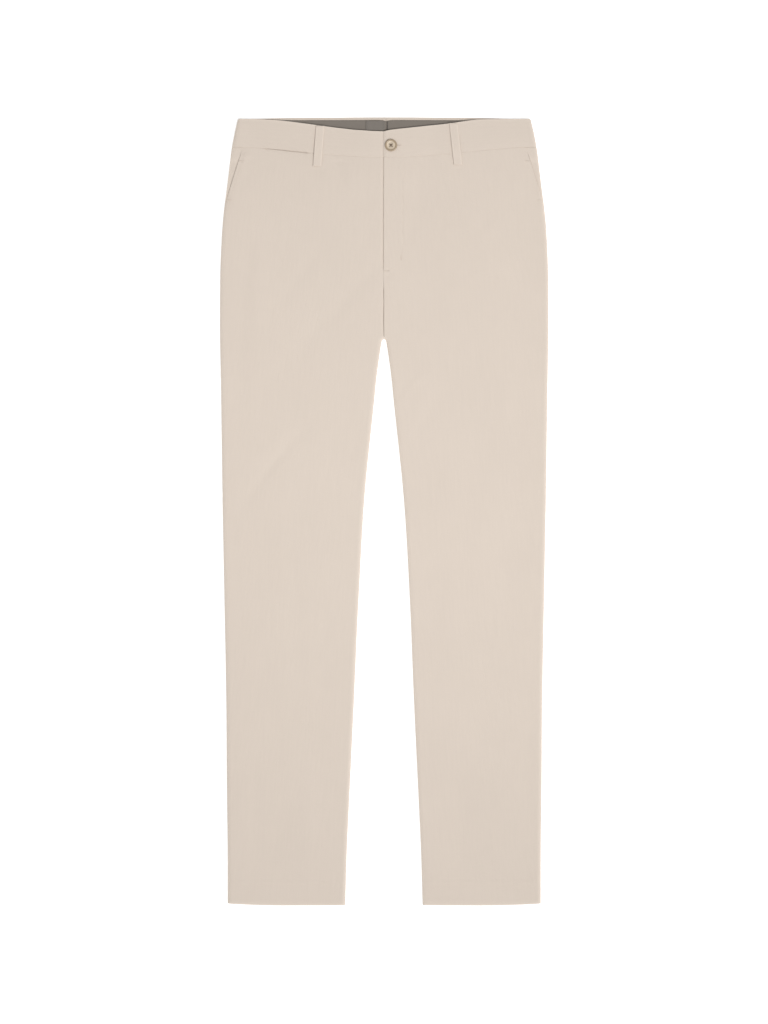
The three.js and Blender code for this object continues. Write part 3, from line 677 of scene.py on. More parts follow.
class Finish:
    """One material, built node by node."""

    def __init__(self, name):
        self.material = bpy.data.materials.new(name)
        self.material.use_nodes = True
        self.tree = self.material.node_tree
        self.tree.nodes.clear()

    def node(self, kind, settings=(), sockets=()):
        """Adds a node: its settings first, then values or links for its sockets."""
        node = self.tree.nodes.new(kind)
        for key, value in dict(settings).items():
            setattr(node, key, value)
        for key, value in dict(sockets).items():
            socket = value.socket if isinstance(value, Value) else value
            if isinstance(socket, bpy.types.NodeSocket):
                self.tree.links.new(socket, node.inputs[key])
            else:
                node.inputs[key].default_value = socket
        return node

    def maths(self, operation, *operands):
        node = self.node("ShaderNodeMath", {"operation": operation}, dict(enumerate(operands)))
        return Value(self, node.outputs[0])

    def attribute(self, name):
        node = self.node("ShaderNodeAttribute", {"attribute_name": name})
        return Value(self, node.outputs["Fac"])

    def grain(self):
        """Distances across and along the grain of the cloth, in metres."""
        place = self.node("ShaderNodeUVMap", {"uv_map": "grain"}).outputs["UV"]
        parts = self.node("ShaderNodeSeparateXYZ", sockets={"Vector": place})
        return Value(self, parts.outputs["X"]), Value(self, parts.outputs["Y"])

    def place(self, scale=(1.0, 1.0, 1.0)):
        spot = self.node("ShaderNodeTexCoord").outputs["Object"]
        sockets = {"Vector": spot, "Scale": scale}
        return self.node("ShaderNodeMapping", sockets=sockets).outputs["Vector"]

    def flat_place(self, across, along):
        node = self.node("ShaderNodeCombineXYZ", sockets={"X": across, "Y": along})
        return node.outputs["Vector"]

    def noise(self, vector, scale, detail=3.0, roughness=0.5):
        """Soft random value around 0.5."""
        sockets = {"Vector": vector, "Scale": scale, "Detail": detail, "Roughness": roughness}
        node = self.node("ShaderNodeTexNoise", {"noise_dimensions": "3D"}, sockets)
        return Value(self, node.outputs["Fac"])

    def blend(self, factor, a, b):
        settings = {"data_type": "RGBA", "clamp_factor": True}
        node = self.node("ShaderNodeMix", settings, {0: factor, 6: a, 7: b})
        return node.outputs[2]

    def tinted(self, colour, strength):
        """The colour made lighter or darker by a value around 1."""
        plain = colour[:3] if isinstance(colour, tuple) else colour
        sockets = {0: plain, "Scale": strength}
        return self.node("ShaderNodeVectorMath", {"operation": "SCALE"}, sockets).outputs["Vector"]

    def bump(self, height, distance):
        sockets = {"Height": height, "Distance": distance, "Strength": 1.0}
        return self.node("ShaderNodeBump", sockets=sockets).outputs["Normal"]

    def finished(self, **sockets):
        """The surface itself; socket names are written with underscores."""
        named = {key.replace("_", " "): value for key, value in sockets.items()}
        surface = self.node("ShaderNodeBsdfPrincipled", sockets=named)
        self.node("ShaderNodeOutputMaterial", sockets={"Surface": surface.outputs["BSDF"]})
        return self.material


def rgba(colour, factor=1.0):
    return (*(channel * factor for channel in colour), 1.0)


def corduroy_finish(name, wale_pitch, colours):
    """Fine needlecord: rounded wales of cut pile with darker grooves between them; the grooves show
    the ground weave's colour, and their darkening towards the bottom is painted shade.
    """
    finish = Finish(name)
    across, along = finish.grain()
    nap = finish.attribute("nap")
    wear = finish.attribute("wear")
    drift = finish.noise(finish.flat_place(across * 6.0, along * 9.0), 1.0, 2.0)
    phase = (across + (drift - 0.5) * 0.003) * (math.pi / wale_pitch)
    wale = abs(phase.sin()) ** 0.7
    pile = finish.noise(finish.flat_place(across * 2600.0, along * 900.0), 1.0, 3.0, 0.6)
    yarn = finish.noise(finish.flat_place(across * 420.0, along * 16.0), 1.0, 3.0, 0.6)
    mottle = finish.noise(finish.place(), 9.0, 4.0, 0.55)
    cloud = finish.noise(finish.place((1.0, 0.35, 1.0)), 3.0, 2.0)
    weave = abs((across * 5200.0).sin()) * abs((along * 5200.0).sin())
    shade = 1.0 + (mottle - 0.5) * 0.05 + (yarn - 0.5) * 0.05 + (pile - 0.5) * 0.10
    shade = shade + (cloud - 0.5) * 0.03 + wear * 0.035
    # Partly painted shade: the groove colour deepens with the depth of each groove, besides showing
    # the ground weave.
    groove = (1.0 - wale) * nap * (1.0 - wear * 0.5)
    right_side = finish.blend(groove, rgba(colours.corduroy), rgba(colours.groove))
    wrong_side = finish.blend(weave, rgba(colours.groove), rgba(colours.corduroy, 0.93))
    colour = finish.blend(nap, wrong_side, right_side)
    relief = wale * nap * (1.0 - wear * 0.4) + pile * 0.35 + weave * (1.0 - nap) * 0.4
    return finish.finished(
        Base_Color=finish.tinted(colour, shade),
        Roughness=0.8 + (pile - 0.5) * 0.2 - wear * 0.08,
        Normal=finish.bump(relief, 0.00028),
        Sheen_Weight=0.3,
        Sheen_Roughness=0.45,
        Sheen_Tint=rgba(colours.sheen),
        Specular_IOR_Level=0.3,
    )


def twill_finish(name, colour, pitch, contrast, roughness, slant=1.0, sheen=0.1):
    """Woven cloth with a fine diagonal line, for linings, labels and tapes."""
    finish = Finish(name)
    across, along = finish.grain()
    line = abs(((across + along * slant) * (math.pi / pitch)).sin())
    yarn = abs((along * (math.pi / (pitch * 0.5))).sin())
    fuzz = finish.noise(finish.flat_place(across * 1500.0, along * 1500.0), 1.0, 3.0)
    mottle = finish.noise(finish.place(), 16.0, 4.0)
    shade = 1.0 + (line - 0.6) * contrast + (fuzz - 0.5) * 0.12 + (mottle - 0.5) * 0.07
    return finish.finished(
        Base_Color=finish.tinted(rgba(colour), shade),
        Roughness=roughness + (fuzz - 0.5) * 0.15,
        Normal=finish.bump(line + yarn * 0.5 + fuzz * 0.3, 0.00009),
        Sheen_Weight=sheen,
        Specular_IOR_Level=0.35,
    )


def thread_finish(name, colour):
    """Spun sewing thread with its twist."""
    finish = Finish(name)
    fuzz = finish.noise(finish.place(), 5200.0, 2.0)
    shade = 1.0 + (fuzz - 0.5) * 0.22
    return finish.finished(
        Base_Color=finish.tinted(rgba(colour), shade),
        Roughness=0.6 + (fuzz - 0.5) * 0.2,
        Normal=finish.bump(fuzz, 0.00006),
        Sheen_Weight=0.15,
    )


def metal_finish(name, colour):
    """Dulled brass of the zip, darker where it has tarnished."""
    finish = Finish(name)
    tarnish = finish.noise(finish.place(), 700.0, 4.0, 0.6)
    dark = rgba(colour, 0.55)
    patchy = ((tarnish - 0.42) * 3.0).clamped()
    return finish.finished(
        Base_Color=finish.blend(patchy, dark, rgba(colour)),
        Metallic=1.0,
        Roughness=0.46 - patchy * 0.18,
        Normal=finish.bump(tarnish, 0.00003),
    )


def button_finish(name, colour, rim_and_shade_colour):
    """Polished resin with the drifting streaks of horn and a darker rim, partly the horn's own tone
    and partly painted shade of the sloping rim.
    """
    finish = Finish(name)
    rim = finish.attribute("rim")
    drift = finish.noise(finish.place((1.0, 0.5, 1.0)), 150.0, 4.0, 0.6)
    streak = finish.noise(finish.place((1.0, 0.28, 1.0)), 620.0, 5.0, 0.65)
    flow = ((streak + drift - 1.0) * 1.9 + 0.5).clamped()
    body = finish.blend(flow, rgba(colour, 0.72), rgba(colour, 1.12))
    return finish.finished(
        # The rim colour is partly painted shade, where the rim slopes away from the light.
        Base_Color=finish.blend(rim * 0.75, body, rgba(rim_and_shade_colour)),
        Roughness=0.34 + (streak - 0.5) * 0.12,
        Normal=finish.bump(streak, 0.00002),
        Coat_Weight=0.25,
        Coat_Roughness=0.2,
    )


def floor_finish(studio):
    """Pale paper lit from below as well as above."""
    finish = Finish("studio paper")
    grain = finish.noise(finish.place(), 260.0, 3.0)
    return finish.finished(
        Base_Color=finish.tinted(rgba((0.9, 0.9, 0.9)), 1.0 + (grain - 0.5) * 0.02),
        Roughness=0.85,
        Specular_IOR_Level=0.2,
        Emission_Color=rgba((1.0, 1.0, 1.0)),
        Emission_Strength=studio.floor_glow,
    )


def finish_named(name, maker, *details):
    """A material by its name, made on first use."""
    return bpy.data.materials.get(name) or maker(name, *details)


def corduroy():
    scene = bpy.context.scene
    return finish_named(
        "needlecord", corduroy_finish, scene.trouser_sizes.wale_pitch, scene.trouser_colours)


def lining():
    colour = bpy.context.scene.trouser_colours.lining
    return finish_named("waist twill", twill_finish, colour, 0.0009, 0.10, 0.6, 1.0, 0.02)


def label_cloth():
    colour = bpy.context.scene.trouser_colours.label
    return finish_named("label", twill_finish, colour, 0.0005, 0.12, 0.5, 0.0)


def tape_cloth():
    colour = bpy.context.scene.trouser_colours.tape
    return finish_named("zip tape", twill_finish, colour, 0.0007, 0.14, 0.65, -1.0)


def cloth_thread():
    return finish_named("thread", thread_finish, bpy.context.scene.trouser_colours.thread)


def dark_thread():
    colour = bpy.context.scene.trouser_colours.button_thread
    return finish_named("button thread", thread_finish, colour)


def shaded_seam_thread():
    # The thread is the lining's colour darkened to 0.45: partly a darker overcasting thread, partly
    # painted shade along the centre-back seam.
    colour = tuple(0.45 * channel for channel in bpy.context.scene.trouser_colours.lining)
    return finish_named("seam thread", thread_finish, colour)


def lining_thread():
    return finish_named("lining thread", thread_finish, bpy.context.scene.trouser_colours.label)


def zip_metal():
    return finish_named("zip metal", metal_finish, bpy.context.scene.trouser_colours.metal)


def button_resin():
    colours = bpy.context.scene.trouser_colours
    return finish_named("button resin", button_finish, colours.button, colours.button_rim)


# ---- What repeats along a line ----
def repeat_tree(shape):
    """Geometry Nodes tree that sets small shapes along the lines of a mesh: rounded runs of
    thread, or the square teeth of a zip."""
    name = f"{shape} along a line"
    if name in bpy.data.node_groups:
        return bpy.data.node_groups[name]
    tree = bpy.data.node_groups.new(name, "GeometryNodeTree")
    face = tree.interface
    face.new_socket("Lines", in_out="INPUT", socket_type="NodeSocketGeometry")
    for label, default in (("Spacing", 0.003), ("Length", 0.0026), ("Width", 0.0005),
                           ("Height", 0.0004), ("Turn", 0.0), ("Unevenness", 0.05)):
        socket = face.new_socket(label, in_out="INPUT", socket_type="NodeSocketFloat")
        socket.default_value = default
    seed = face.new_socket("Seed", in_out="INPUT", socket_type="NodeSocketInt")
    seed.default_value = 7
    face.new_socket("Material", in_out="INPUT", socket_type="NodeSocketMaterial")
    face.new_socket("Geometry", in_out="OUTPUT", socket_type="NodeSocketGeometry")

    def node(kind, settings=(), sockets=()):
        made = tree.nodes.new(kind)
        for key, value in dict(settings).items():
            setattr(made, key, value)
        for key, value in dict(sockets).items():
            if isinstance(value, bpy.types.NodeSocket):
                tree.links.new(value, made.inputs[key])
            else:
                made.inputs[key].default_value = value
        return made

    given = node("NodeGroupInput").outputs
    lines = node("GeometryNodeMeshToCurve", sockets={"Mesh": given["Lines"]})
    spaced = node("GeometryNodeResampleCurve", {"mode": "LENGTH"},
                  {"Curve": lines.outputs["Curve"], "Length": given["Spacing"]})
    if shape == "thread":
        one = node("GeometryNodeMeshUVSphere", sockets={"Segments": 6, "Rings": 5, "Radius": 0.5})
    else:
        one = node("GeometryNodeMeshCube", sockets={"Size": (1.0, 1.0, 1.0)})
    size = node("ShaderNodeCombineXYZ", sockets={
        "X": given["Length"], "Y": given["Width"], "Z": given["Height"]})
    tangent = node("GeometryNodeInputTangent")
    facing = node("FunctionNodeAlignRotationToVector", {"axis": "X"},
                  {"Vector": tangent.outputs["Tangent"]})
    swing = node("FunctionNodeRandomValue", {"data_type": "FLOAT"}, {
        "Seed": given["Seed"]})
    floats = [s for s in swing.inputs if s.enabled and s.name in ("Min", "Max")]
    minus = node("ShaderNodeMath", {"operation": "MULTIPLY"}, {0: given["Unevenness"], 1: -1.0})
    tree.links.new(minus.outputs[0], floats[0])
    tree.links.new(given["Unevenness"], floats[1])
    swung = [s for s in swing.outputs if s.enabled][0]
    angle = node("ShaderNodeMath", {"operation": "ADD"}, {0: given["Turn"], 1: swung})
    turned = node("FunctionNodeAxisAngleToRotation", sockets={
        "Axis": (0.0, 0.0, 1.0), "Angle": angle.outputs[0]})
    rotation = node("FunctionNodeRotateRotation", {"rotation_space": "LOCAL"}, {
        "Rotation": facing.outputs["Rotation"], "Rotate By": turned.outputs["Rotation"]})
    placed = node("GeometryNodeInstanceOnPoints", sockets={
        "Points": spaced.outputs["Curve"], "Instance": one.outputs["Mesh"],
        "Rotation": rotation.outputs["Rotation"], "Scale": size.outputs["Vector"]})
    real = node("GeometryNodeRealizeInstances", sockets={"Geometry": placed.outputs["Instances"]})
    coloured = node("GeometryNodeSetMaterial", sockets={
        "Geometry": real.outputs["Geometry"], "Material": given["Material"]})
    node("NodeGroupOutput", sockets={"Geometry": coloured.outputs["Geometry"]})
    return tree


def lines_mesh(name, runs):
    """A mesh of open lines; each run is an array of points in millimetres."""
    points = laid(np.concatenate(runs))
    edges = []
    start = 0
    for run in runs:
        edges += [(start + i, start + i + 1) for i in range(len(run) - 1)]
        start += len(run)
    mesh = bpy.data.meshes.new(name)
    mesh.from_pydata(points.tolist(), edges, [])
    return mesh


def run_along(name, runs, material, shape, **sizes):
    """The mesh of small shapes repeated along the runs."""
    tree = repeat_tree(shape)
    guide = bpy.data.objects.new(name, lines_mesh(name, runs))
    bpy.context.scene.collection.objects.link(guide)
    modifier = guide.modifiers.new("repeat", "NODES")
    modifier.node_group = tree
    inputs = {item.name: item.identifier for item in tree.interface.items_tree
              if item.in_out == "INPUT"}
    modifier[inputs["Material"]] = material
    for key, value in sizes.items():
        modifier[inputs[key]] = value
    ready = guide.evaluated_get(bpy.context.evaluated_depsgraph_get())
    mesh = bpy.data.meshes.new_from_object(ready)
    guide.modifiers.remove(modifier)
    bpy.data.objects.remove(guide)
    mesh.name = name
    mesh.shade_smooth()
    return mesh


def on_surface(height, xs, ys, above=0.08):
    """Points of a line that lies on a layer."""
    xs, ys = np.broadcast_arrays(np.asarray(xs, float), np.asarray(ys, float))
    return np.stack([xs, ys, height(xs, ys) + above], axis=-1)


def sewing(name, runs, material, slot="corduroy", length=None, spacing=None, across=False,
           width=None):
    """Stitches along the runs; across=True turns them into the bars of a tack."""
    sizes = bpy.context.scene.trouser_sizes
    length = length or 0.84 * sizes.stitch / MM
    spacing = spacing or sizes.stitch / MM
    width = width or sizes.thread / MM
    mesh = run_along(
        name, runs, material, "thread",
        Spacing=spacing * MM, Length=length * MM, Width=width * MM, Height=width * 0.8 * MM,
        Turn=math.pi / 2 if across else 0.0, Unevenness=0.05 if across else 0.03,
    )
    return add_piece(mesh, material, slot)


def tack(name, runs, length):
    """Close bars of thread across the runs, which hold what strains."""
    sewing(name, runs, cloth_thread(), length=length, spacing=TACK_SPACING, across=True,
           width=TACK_WIDTH)


# ---- Sizes and colours a user may change ----
def length_property(name, description, default):
    return bpy.props.FloatProperty(
        name=name, description=description, default=default, unit="LENGTH", min=0.0001,
        precision=4)


def colour_property(name, description, default):
    return bpy.props.FloatVectorProperty(
        name=name, description=description, default=default, size=3, subtype="COLOR",
        min=0.0, max=1.0)


class TrouserSizes(bpy.types.PropertyGroup):
    """Sizes of the cloth and the sewing."""
    cloth: length_property("Cloth", "Thickness of the corduroy", 0.0012)
    wale_pitch: length_property("Wale pitch", "Distance from one wale to the next", 0.0012)
    stitch: length_property("Stitch", "Length of one stitch with its gap", 0.0031)
    thread: length_property("Thread", "Width of the sewing thread", 0.00042)
    cell: length_property("Cell", "Size of the mesh cells of the leg panels", 0.004)


class TrouserColours(bpy.types.PropertyGroup):
    """Colours of the cloth and the trimmings, as linear values."""
    corduroy: colour_property("Corduroy", "Crest of the wales", (0.757, 0.664, 0.581))
    # Ground weave colour; where it is laid into the grooves it is also painted shade.
    groove: colour_property("Groove", "Between the wales and the wrong side", (0.637, 0.549, 0.471))
    sheen: colour_property("Sheen", "Light caught by the pile", (0.95, 0.9, 0.84))
    lining: colour_property("Lining", "Inside of the waistband", (0.204, 0.178, 0.153))
    label: colour_property("Label", "Bare label at centre back", (0.205, 0.182, 0.160))
    thread: colour_property("Thread", "Sewing thread", (0.72, 0.632, 0.552))
    tape: colour_property("Zip tape", "Woven tape of the zip", (0.60, 0.52, 0.43))
    metal: colour_property("Zip metal", "Teeth and slider", (0.56, 0.43, 0.26))
    button: colour_property("Button", "Horn-like resin", (0.66, 0.55, 0.42))
    # Partly painted shade: the ring darkens where the button's rim slopes off.
    button_rim: colour_property("Button rim", "Darker rim of the resin", (0.30, 0.215, 0.13))
    button_thread: colour_property("Button thread", "Thread of the button", (0.17, 0.12, 0.08))


class TrouserStudio(bpy.types.PropertyGroup):
    """Camera and light."""
    view_height: length_property("View height", "Height of the view at the cloth", 1.4631)
    camera_height: length_property("Camera height", "Camera above the cloth", 6.0)
    sky: bpy.props.FloatProperty(
        name="Sky", description="Brightness of the soft light all round", default=0.49, min=0.0)
    key: bpy.props.FloatProperty(
        name="Key", description="Strength of the large soft lamp", default=1.36, min=0.0)
    fill: bpy.props.FloatProperty(
        name="Fill", description="Power of the lamp overhead", default=4.75, min=0.0,
        unit="POWER")
    floor_glow: bpy.props.FloatProperty(
        name="Floor glow", description="Light given off by the floor", default=0.45, min=0.0)


# ---- Pieces ----
SIDES = ((-1, "right"), (1, "left"))
FOLD_ANGLES = np.radians(np.linspace(0, 90, 9))
FOLD_STEPS = FOLD_REACH * (1 - np.cos(FOLD_ANGLES))


def cell_size():
    return bpy.context.scene.trouser_sizes.cell / MM


def cloth_thickness():
    return bpy.context.scene.trouser_sizes.cloth / MM


def panel_rows(cell):
    """Heights of the rows of a leg panel, closest where its form turns fastest."""
    circle = CROTCH_CENTRE + CROTCH_RADIUS * np.sin(np.radians([0, 20, 40, 60, 75]))
    top = BAND_SIDE_Y
    leg = stops((0.0, 2.4, 0.6), (2.4, 30, 4.6), (30, 38, 1.0), (38, 790, cell), (790, 803, 2.6))
    return np.concatenate([
        leg[:-1],
        circle,
        CROTCH_Y + FOLD_STEPS,
        stops((818, FLY_END_Y - 8, cell * 0.7), (FLY_END_Y - 8, FLY_END_Y + 8, 1.2),
              (FLY_END_Y + 8, 950, 2.0), (950, top - 12, cell * 0.7), (top - 12, top - 4, 1.6),
              (top - 4, top, 0.32)),
    ])


def seam_row(row, x):
    """Rows near the waist bend down with the waistband seam."""
    return row - (BAND_SIDE_Y - band_seam_y(x)) * smooth(985, BAND_SIDE_Y, row)


def half_gap(row):
    """Half the gap between the fronts; the sewing at the fly's end draws them together."""
    return SEAM_GAP / 2 - 0.13 * bell(row - FLY_END_Y + 5, 6.5)


def right_front_edge(row):
    """Inner edge of the right front; it turns in under the left one at the fly."""
    seam = half_gap(row) - front_seam_x(row)
    tucked = mix(seam, -FLY_TUCK, smooth(FLY_END_Y - 1, FLY_END_Y + 24, row))
    return np.where(row < CROTCH_Y, inner_at(row), tucked)


def centre_edge(seam_x, side):
    """Inner edge of a panel that ends at a centre seam."""
    def edge(row):
        return np.where(row < CROTCH_Y, inner_at(row), side * seam_x(row) + half_gap(row))
    return edge


def leg_panel(node, side, front, height, relief, inner_edge, inner_steps):
    """A leg panel from its hem to the waist seam, and from the side fold to its inner edge."""
    up, cell = (1.0, cell_size()) if front else (-1.0, cell_size() * 1.5)
    row_y = panel_rows(cell)
    rows = row_y[:, None]
    has_mouth = front & (rows > POCKET_FOOT_Y)
    inset = np.where(has_mouth, pocket_inset(rows), 0.0)
    inner = inner_edge(rows) + inner_steps
    outer = outer_at(rows) - inset - FOLD_STEPS[::-1]
    gaps = int(170 / cell)
    share = np.linspace(0, 1, gaps + 1)[1:-1]
    middle = mix(inner[:, -1:], outer[:, :1], share)
    across = np.concatenate([inner, middle, outer], axis=1)
    x = side * across
    y = seam_row(rows, x) if front else rows + 0.0 * x
    first = rows == 0
    corner = np.zeros_like(x)
    corner[0, -1], corner[0, 0] = 1.0, -0.7
    x = x - side * corner
    rim = 0.5 * cloth_thickness()
    y = np.where(first, hem_y(x) + rim, np.maximum(y, hem_y(x) + rim + rows * 0.6))
    if front:
        y = under_band(x, y, rows)
    plain = np.stack([x, y, height(x, y)], axis=-1)
    shaped = plain.copy()
    flat = quarter_round(edge_distance(x, y), FOLD_REACH)
    if relief is not None:
        shaped[:, :, 2] += relief(x, y) * flat
    if front:
        sunk = band_step(x, y) + mouth_press(x, y)
        shaped[:, :, 2] += mouth_lip(x, y) - sunk
        plain[:, :, 2] -= sunk
    column = np.arange(x.shape[1])[None, :]
    on_fold = (column == x.shape[1] - 1) & ~has_mouth
    on_fold = on_fold | ((column == 0) & (rows <= CROTCH_Y))
    on_seam = (column == 0) & (rows >= CROTCH_Y)
    for points in (plain, shaped):
        points[:, :, 2] = np.where(on_fold, FOLD_HEIGHT + up * SEAM_GAP / 2, points[:, :, 2])
    normals = grid_normals(plain)
    normals *= np.where(normals[:, x.shape[1] // 2, 2].mean() * up > 0, 1.0, -1.0)
    normals[:, :, 2] = np.where(on_fold, 0.0, normals[:, :, 2])
    normals[:, :, 0] = np.where(on_seam, 0.0, normals[:, :, 0])
    normals /= np.linalg.norm(normals, axis=2, keepdims=True)
    deep = 1 - smooth(HEM_TURNING - 3, HEM_TURNING + 1, y)
    turned = HEM_EXTRA * deep * smooth(FOLD_REACH / 3, FOLD_REACH, edge_distance(x, y))
    inside = plain - normals * (cloth_thickness() + turned)[:, :, None]
    worn = np.maximum(bell(edge_distance(x, y), 2.5), bell(y - hem_y(x), 2.0))
    grain_line = side * mix(GRAIN_HEM_X, GRAIN_WAIST_X, row_y / OUTSEAM)
    return cloth_piece(
        f"cloth_{node}", shaped, inside, (rim, rim * 0.6, 0.0, 0.0), corduroy(), "corduroy",
        [node], wear=worn, grain_line=grain_line)


def under_band(x, y, rows):
    """The last rows run on under the waistband, except at the small pocket's mouth."""
    last = smooth(BAND_SIDE_Y - 12, BAND_SIDE_Y, rows)
    return y + PANEL_UNDERLAP * last * (1 - ticket_mouth(x)) - 0.45 * ticket_gap(x) * last


def ticket_mouth(x):
    """1 inside the small pocket's mouth and 0 beside it."""
    opens = smooth(TICKET_FROM - 1, TICKET_FROM + 3, x)
    return opens * (1 - smooth(TICKET_TO - 2, TICKET_TO + 1, x))


def ticket_gap(x):
    """The mouth gapes more towards its inner end."""
    return ticket_mouth(x) * mix(0.5, 1.7, smooth(TICKET_FROM, TICKET_TO - 8, x))


def band_step(x, y):
    """How far a front panel sinks to pass below the waistband."""
    below = band_seam_y(x) - y
    tucked = PANEL_SINK * (1 - smooth(-0.65, -0.1, below))
    return tucked + 0.3 * ticket_mouth(x) * bell(below, 2.5)


def mouth_press(x, y):
    """The front is pressed down along the slanted pocket."""
    from_edge = outer_at(y) - np.abs(x) - pocket_inset(y)
    return 0.55 * bell(from_edge, 7.0) * smooth(POCKET_FOOT_Y - 6, POCKET_FOOT_Y + 2, y)


def mouth_closed(y):
    """1 above the tack that closes the slanted pocket, and 0 below it."""
    return smooth(POCKET_HEAD_Y - 3, POCKET_HEAD_Y + 5, y)


def mouth_lip(x, y):
    """The turned edge of the slanted pocket rolls over."""
    from_edge = outer_at(y) - np.abs(x) - pocket_inset(y)
    beside = smooth(POCKET_FOOT_Y - 4, POCKET_FOOT_Y, y) * (1 - 0.8 * mouth_closed(y))
    return -0.3 * (1 - quarter_round(from_edge, 1.5)) * beside


def cut_legs():
    for side, word in SIDES:
        leg_panel(f"back_{word}", side, False, back_height, None,
                  centre_edge(back_seam_x, side), FOLD_STEPS)
    right_steps = np.concatenate([FOLD_STEPS, stops((7, 16, 1.0), (16, 28, 2.0))])
    leg_panel("front_right", -1, True, right_height, panel_relief,
              right_front_edge, right_steps)
    left_steps = np.concatenate([FOLD_STEPS, stops((7, 24, 1.0), (24, 33, 0.6), (33, 40, 1.4))])
    leg_panel("front_left", 1, True, front_height, left_relief,
              centre_edge(front_seam_x, 1), left_steps)


def band_level(y, foot, head):
    """The band stands proud of the panels and rounds down at its turned edges."""
    lower = quarter_round(y - foot, 1.0)
    upper = quarter_round(head - y, 1.8)
    return BAND_PROUD * smooth(0, 12, y - foot) - 0.1 * (1 - lower) - 0.5 * (1 - upper)


def waistband(name, node, side, front_end, height):
    """Runs from centre front, round the side fold, to centre back."""
    share = np.array([0, 0.008, 0.02, 0.035, 0.06, 0.1])
    steps = np.concatenate([share, np.linspace(0.16, 0.84, 12), 1 - share[::-1]])
    level = mix(BAND_SIDE_Y, OUTSEAM, steps)[:, None]
    edge = outer_at(level)
    back_end = side * BACK_SEAM_X + SEAM_GAP / 2
    front_columns = int((215 - front_end) / 2.6)
    front = mix(front_end, edge - FOLD_REACH, np.linspace(0, 1, front_columns))
    fold_front = edge - FOLD_STEPS[::-1][1:]
    fold_back = edge - FOLD_STEPS[1:]
    back = mix(edge - FOLD_REACH, back_end, np.linspace(0, 1, 58)[1:])
    across = np.concatenate([front, fold_front, fold_back, back], axis=1)
    behind = np.arange(across.shape[1])[None, :] >= front.shape[1] + fold_front.shape[1]
    x = side * across
    front_foot = band_seam_y(x) + 0.55 * ticket_gap(x)
    foot = np.where(behind, BAND_SIDE_Y, front_foot) + SEAM_GAP / 2
    head = np.where(behind, back_top_y(x), front_top_y(x))
    rim = 0.5 * cloth_thickness()
    y = mix(foot + rim * 0.6, head - rim, steps[:, None])
    plain_z = np.where(behind, back_height(x, y), height(x, y))
    turned = quarter_round(edge_distance(x, y), FOLD_REACH)
    dimple = 0.5 * bell(np.hypot(x - BUTTON_X, y - BUTTON_Y), 7.0)
    waves = 0.12 * ripple(x, 61.0, 37.0, 19.0)
    gape = 0.3 * ticket_mouth(x) * bell(y - foot, 5.0)
    cushion = 0.15 * np.sin(np.pi * steps)[:, None]
    proud = band_level(y, foot, head) + waves + gape + cushion - dimple - band_end(x, side)
    z = plain_z + np.where(behind, 0.0, proud * turned)
    last_front = front.shape[1] + fold_front.shape[1] - 1
    z[:, last_front] = FOLD_HEIGHT
    outer = np.stack([x, y, z], axis=-1)
    normals = grid_normals(outer)
    normals *= 1.0 if normals[:, 5, 2].mean() > 0 else -1.0
    normals[:, last_front] = (side, 0.0, 0.0)
    inside = outer - normals * cloth_thickness()
    inside[:, :, 2] = np.where(behind & (turned > 0.999), z + cloth_thickness(), inside[:, :, 2])
    worn = np.maximum(bell(head - y, 2.2), bell(edge_distance(x, y), 2.2))
    return cloth_piece(
        name, outer, inside, (rim * 0.6, rim, rim, 0.0), corduroy(), "corduroy", [node],
        wales="round", wear=worn)


def band_end(x, side):
    """The left half's end rounds down at the fly; the right half's end lies below it."""
    if side < 0:
        return 0.0
    return 0.75 * (1 - quarter_round(x - FRONT_SEAM_X - SEAM_GAP / 2, 2.2))


def sew_waistband():
    waistband("cloth_band_right", "waistband_right", -1, -BAND_TUCK, right_height)
    waistband("cloth_band_left", "waistband_left", 1, -1 + SEAM_GAP / 2, front_height)


def back_inside(x, y):
    """The inner face of the back, on which the lining lies."""
    return loop_lift(x, y) + cloth_thickness()


def strip(columns, rows, underside, thickness, y_at=None, x_at=None):
    """Upper and lower grids of a strip that lies on a layer."""
    column, row = np.meshgrid(np.asarray(columns, float), np.asarray(rows, float))
    x = column if x_at is None else x_at(column, row)
    y = row if y_at is None else y_at(column, row)
    low = underside(x, y)
    high = low + (thickness(x, y) if callable(thickness) else thickness)
    return np.stack([x, y, high], axis=-1), np.stack([x, y, low + 0.0 * x], axis=-1)


def line_waist():
    """The lighter cloth inside the back of the waistband, and the bare label on it."""
    for side, word in SIDES:
        seam = side * BACK_SEAM_X + SEAM_GAP / 2
        columns = side * np.linspace(seam + 0.1, 199.0, 70)
        rows = stops((BAND_SIDE_Y + 1, 1118, 4.0), (1118, LINING_HEAD_Y, 0.6))

        def lined(x, y):
            wave = 0.12 * ripple(x, 41.0, 27.0, 17.0) * smooth(BAND_SIDE_Y, 1100, y)
            seam_roll = 0.75 * bell(x - BACK_SEAM_X, 2.6)
            return LINING - 0.35 * (1 - quarter_round(LINING_HEAD_Y - y, 1.6)) + wave - seam_roll

        def dipped(x, row):
            return row - 1.1 * bell(x - BACK_SEAM_X, 6.0) * smooth(OUTSEAM - 9, LINING_HEAD_Y, row)

        outer, inner = strip(
            columns, rows, lambda x, y: back_inside(x, y) + SEAM_GAP, lined, y_at=dipped)
        cloth_piece(f"lining_{word}", outer, inner, (0.3, 0.4, 0.0, 0.2), lining(), "lining",
                    [f"facing_{word}"])
    sew_label()
    # Overcast stitching at centre back; its darkened lining colour is partly painted shade along
    # the seam.
    overcast = on_surface(lambda x, y: back_inside(x, y) + SEAM_GAP + 0.5,
                          np.full(20, BACK_SEAM_X + 2.2),
                          np.linspace(BAND_SIDE_Y + 8, OUTSEAM - 4.5, 20))
    sewing("centre_back_stitching", [overcast], shaded_seam_thread(), "lining",
           length=2.8, spacing=0.5, across=True, width=0.5)


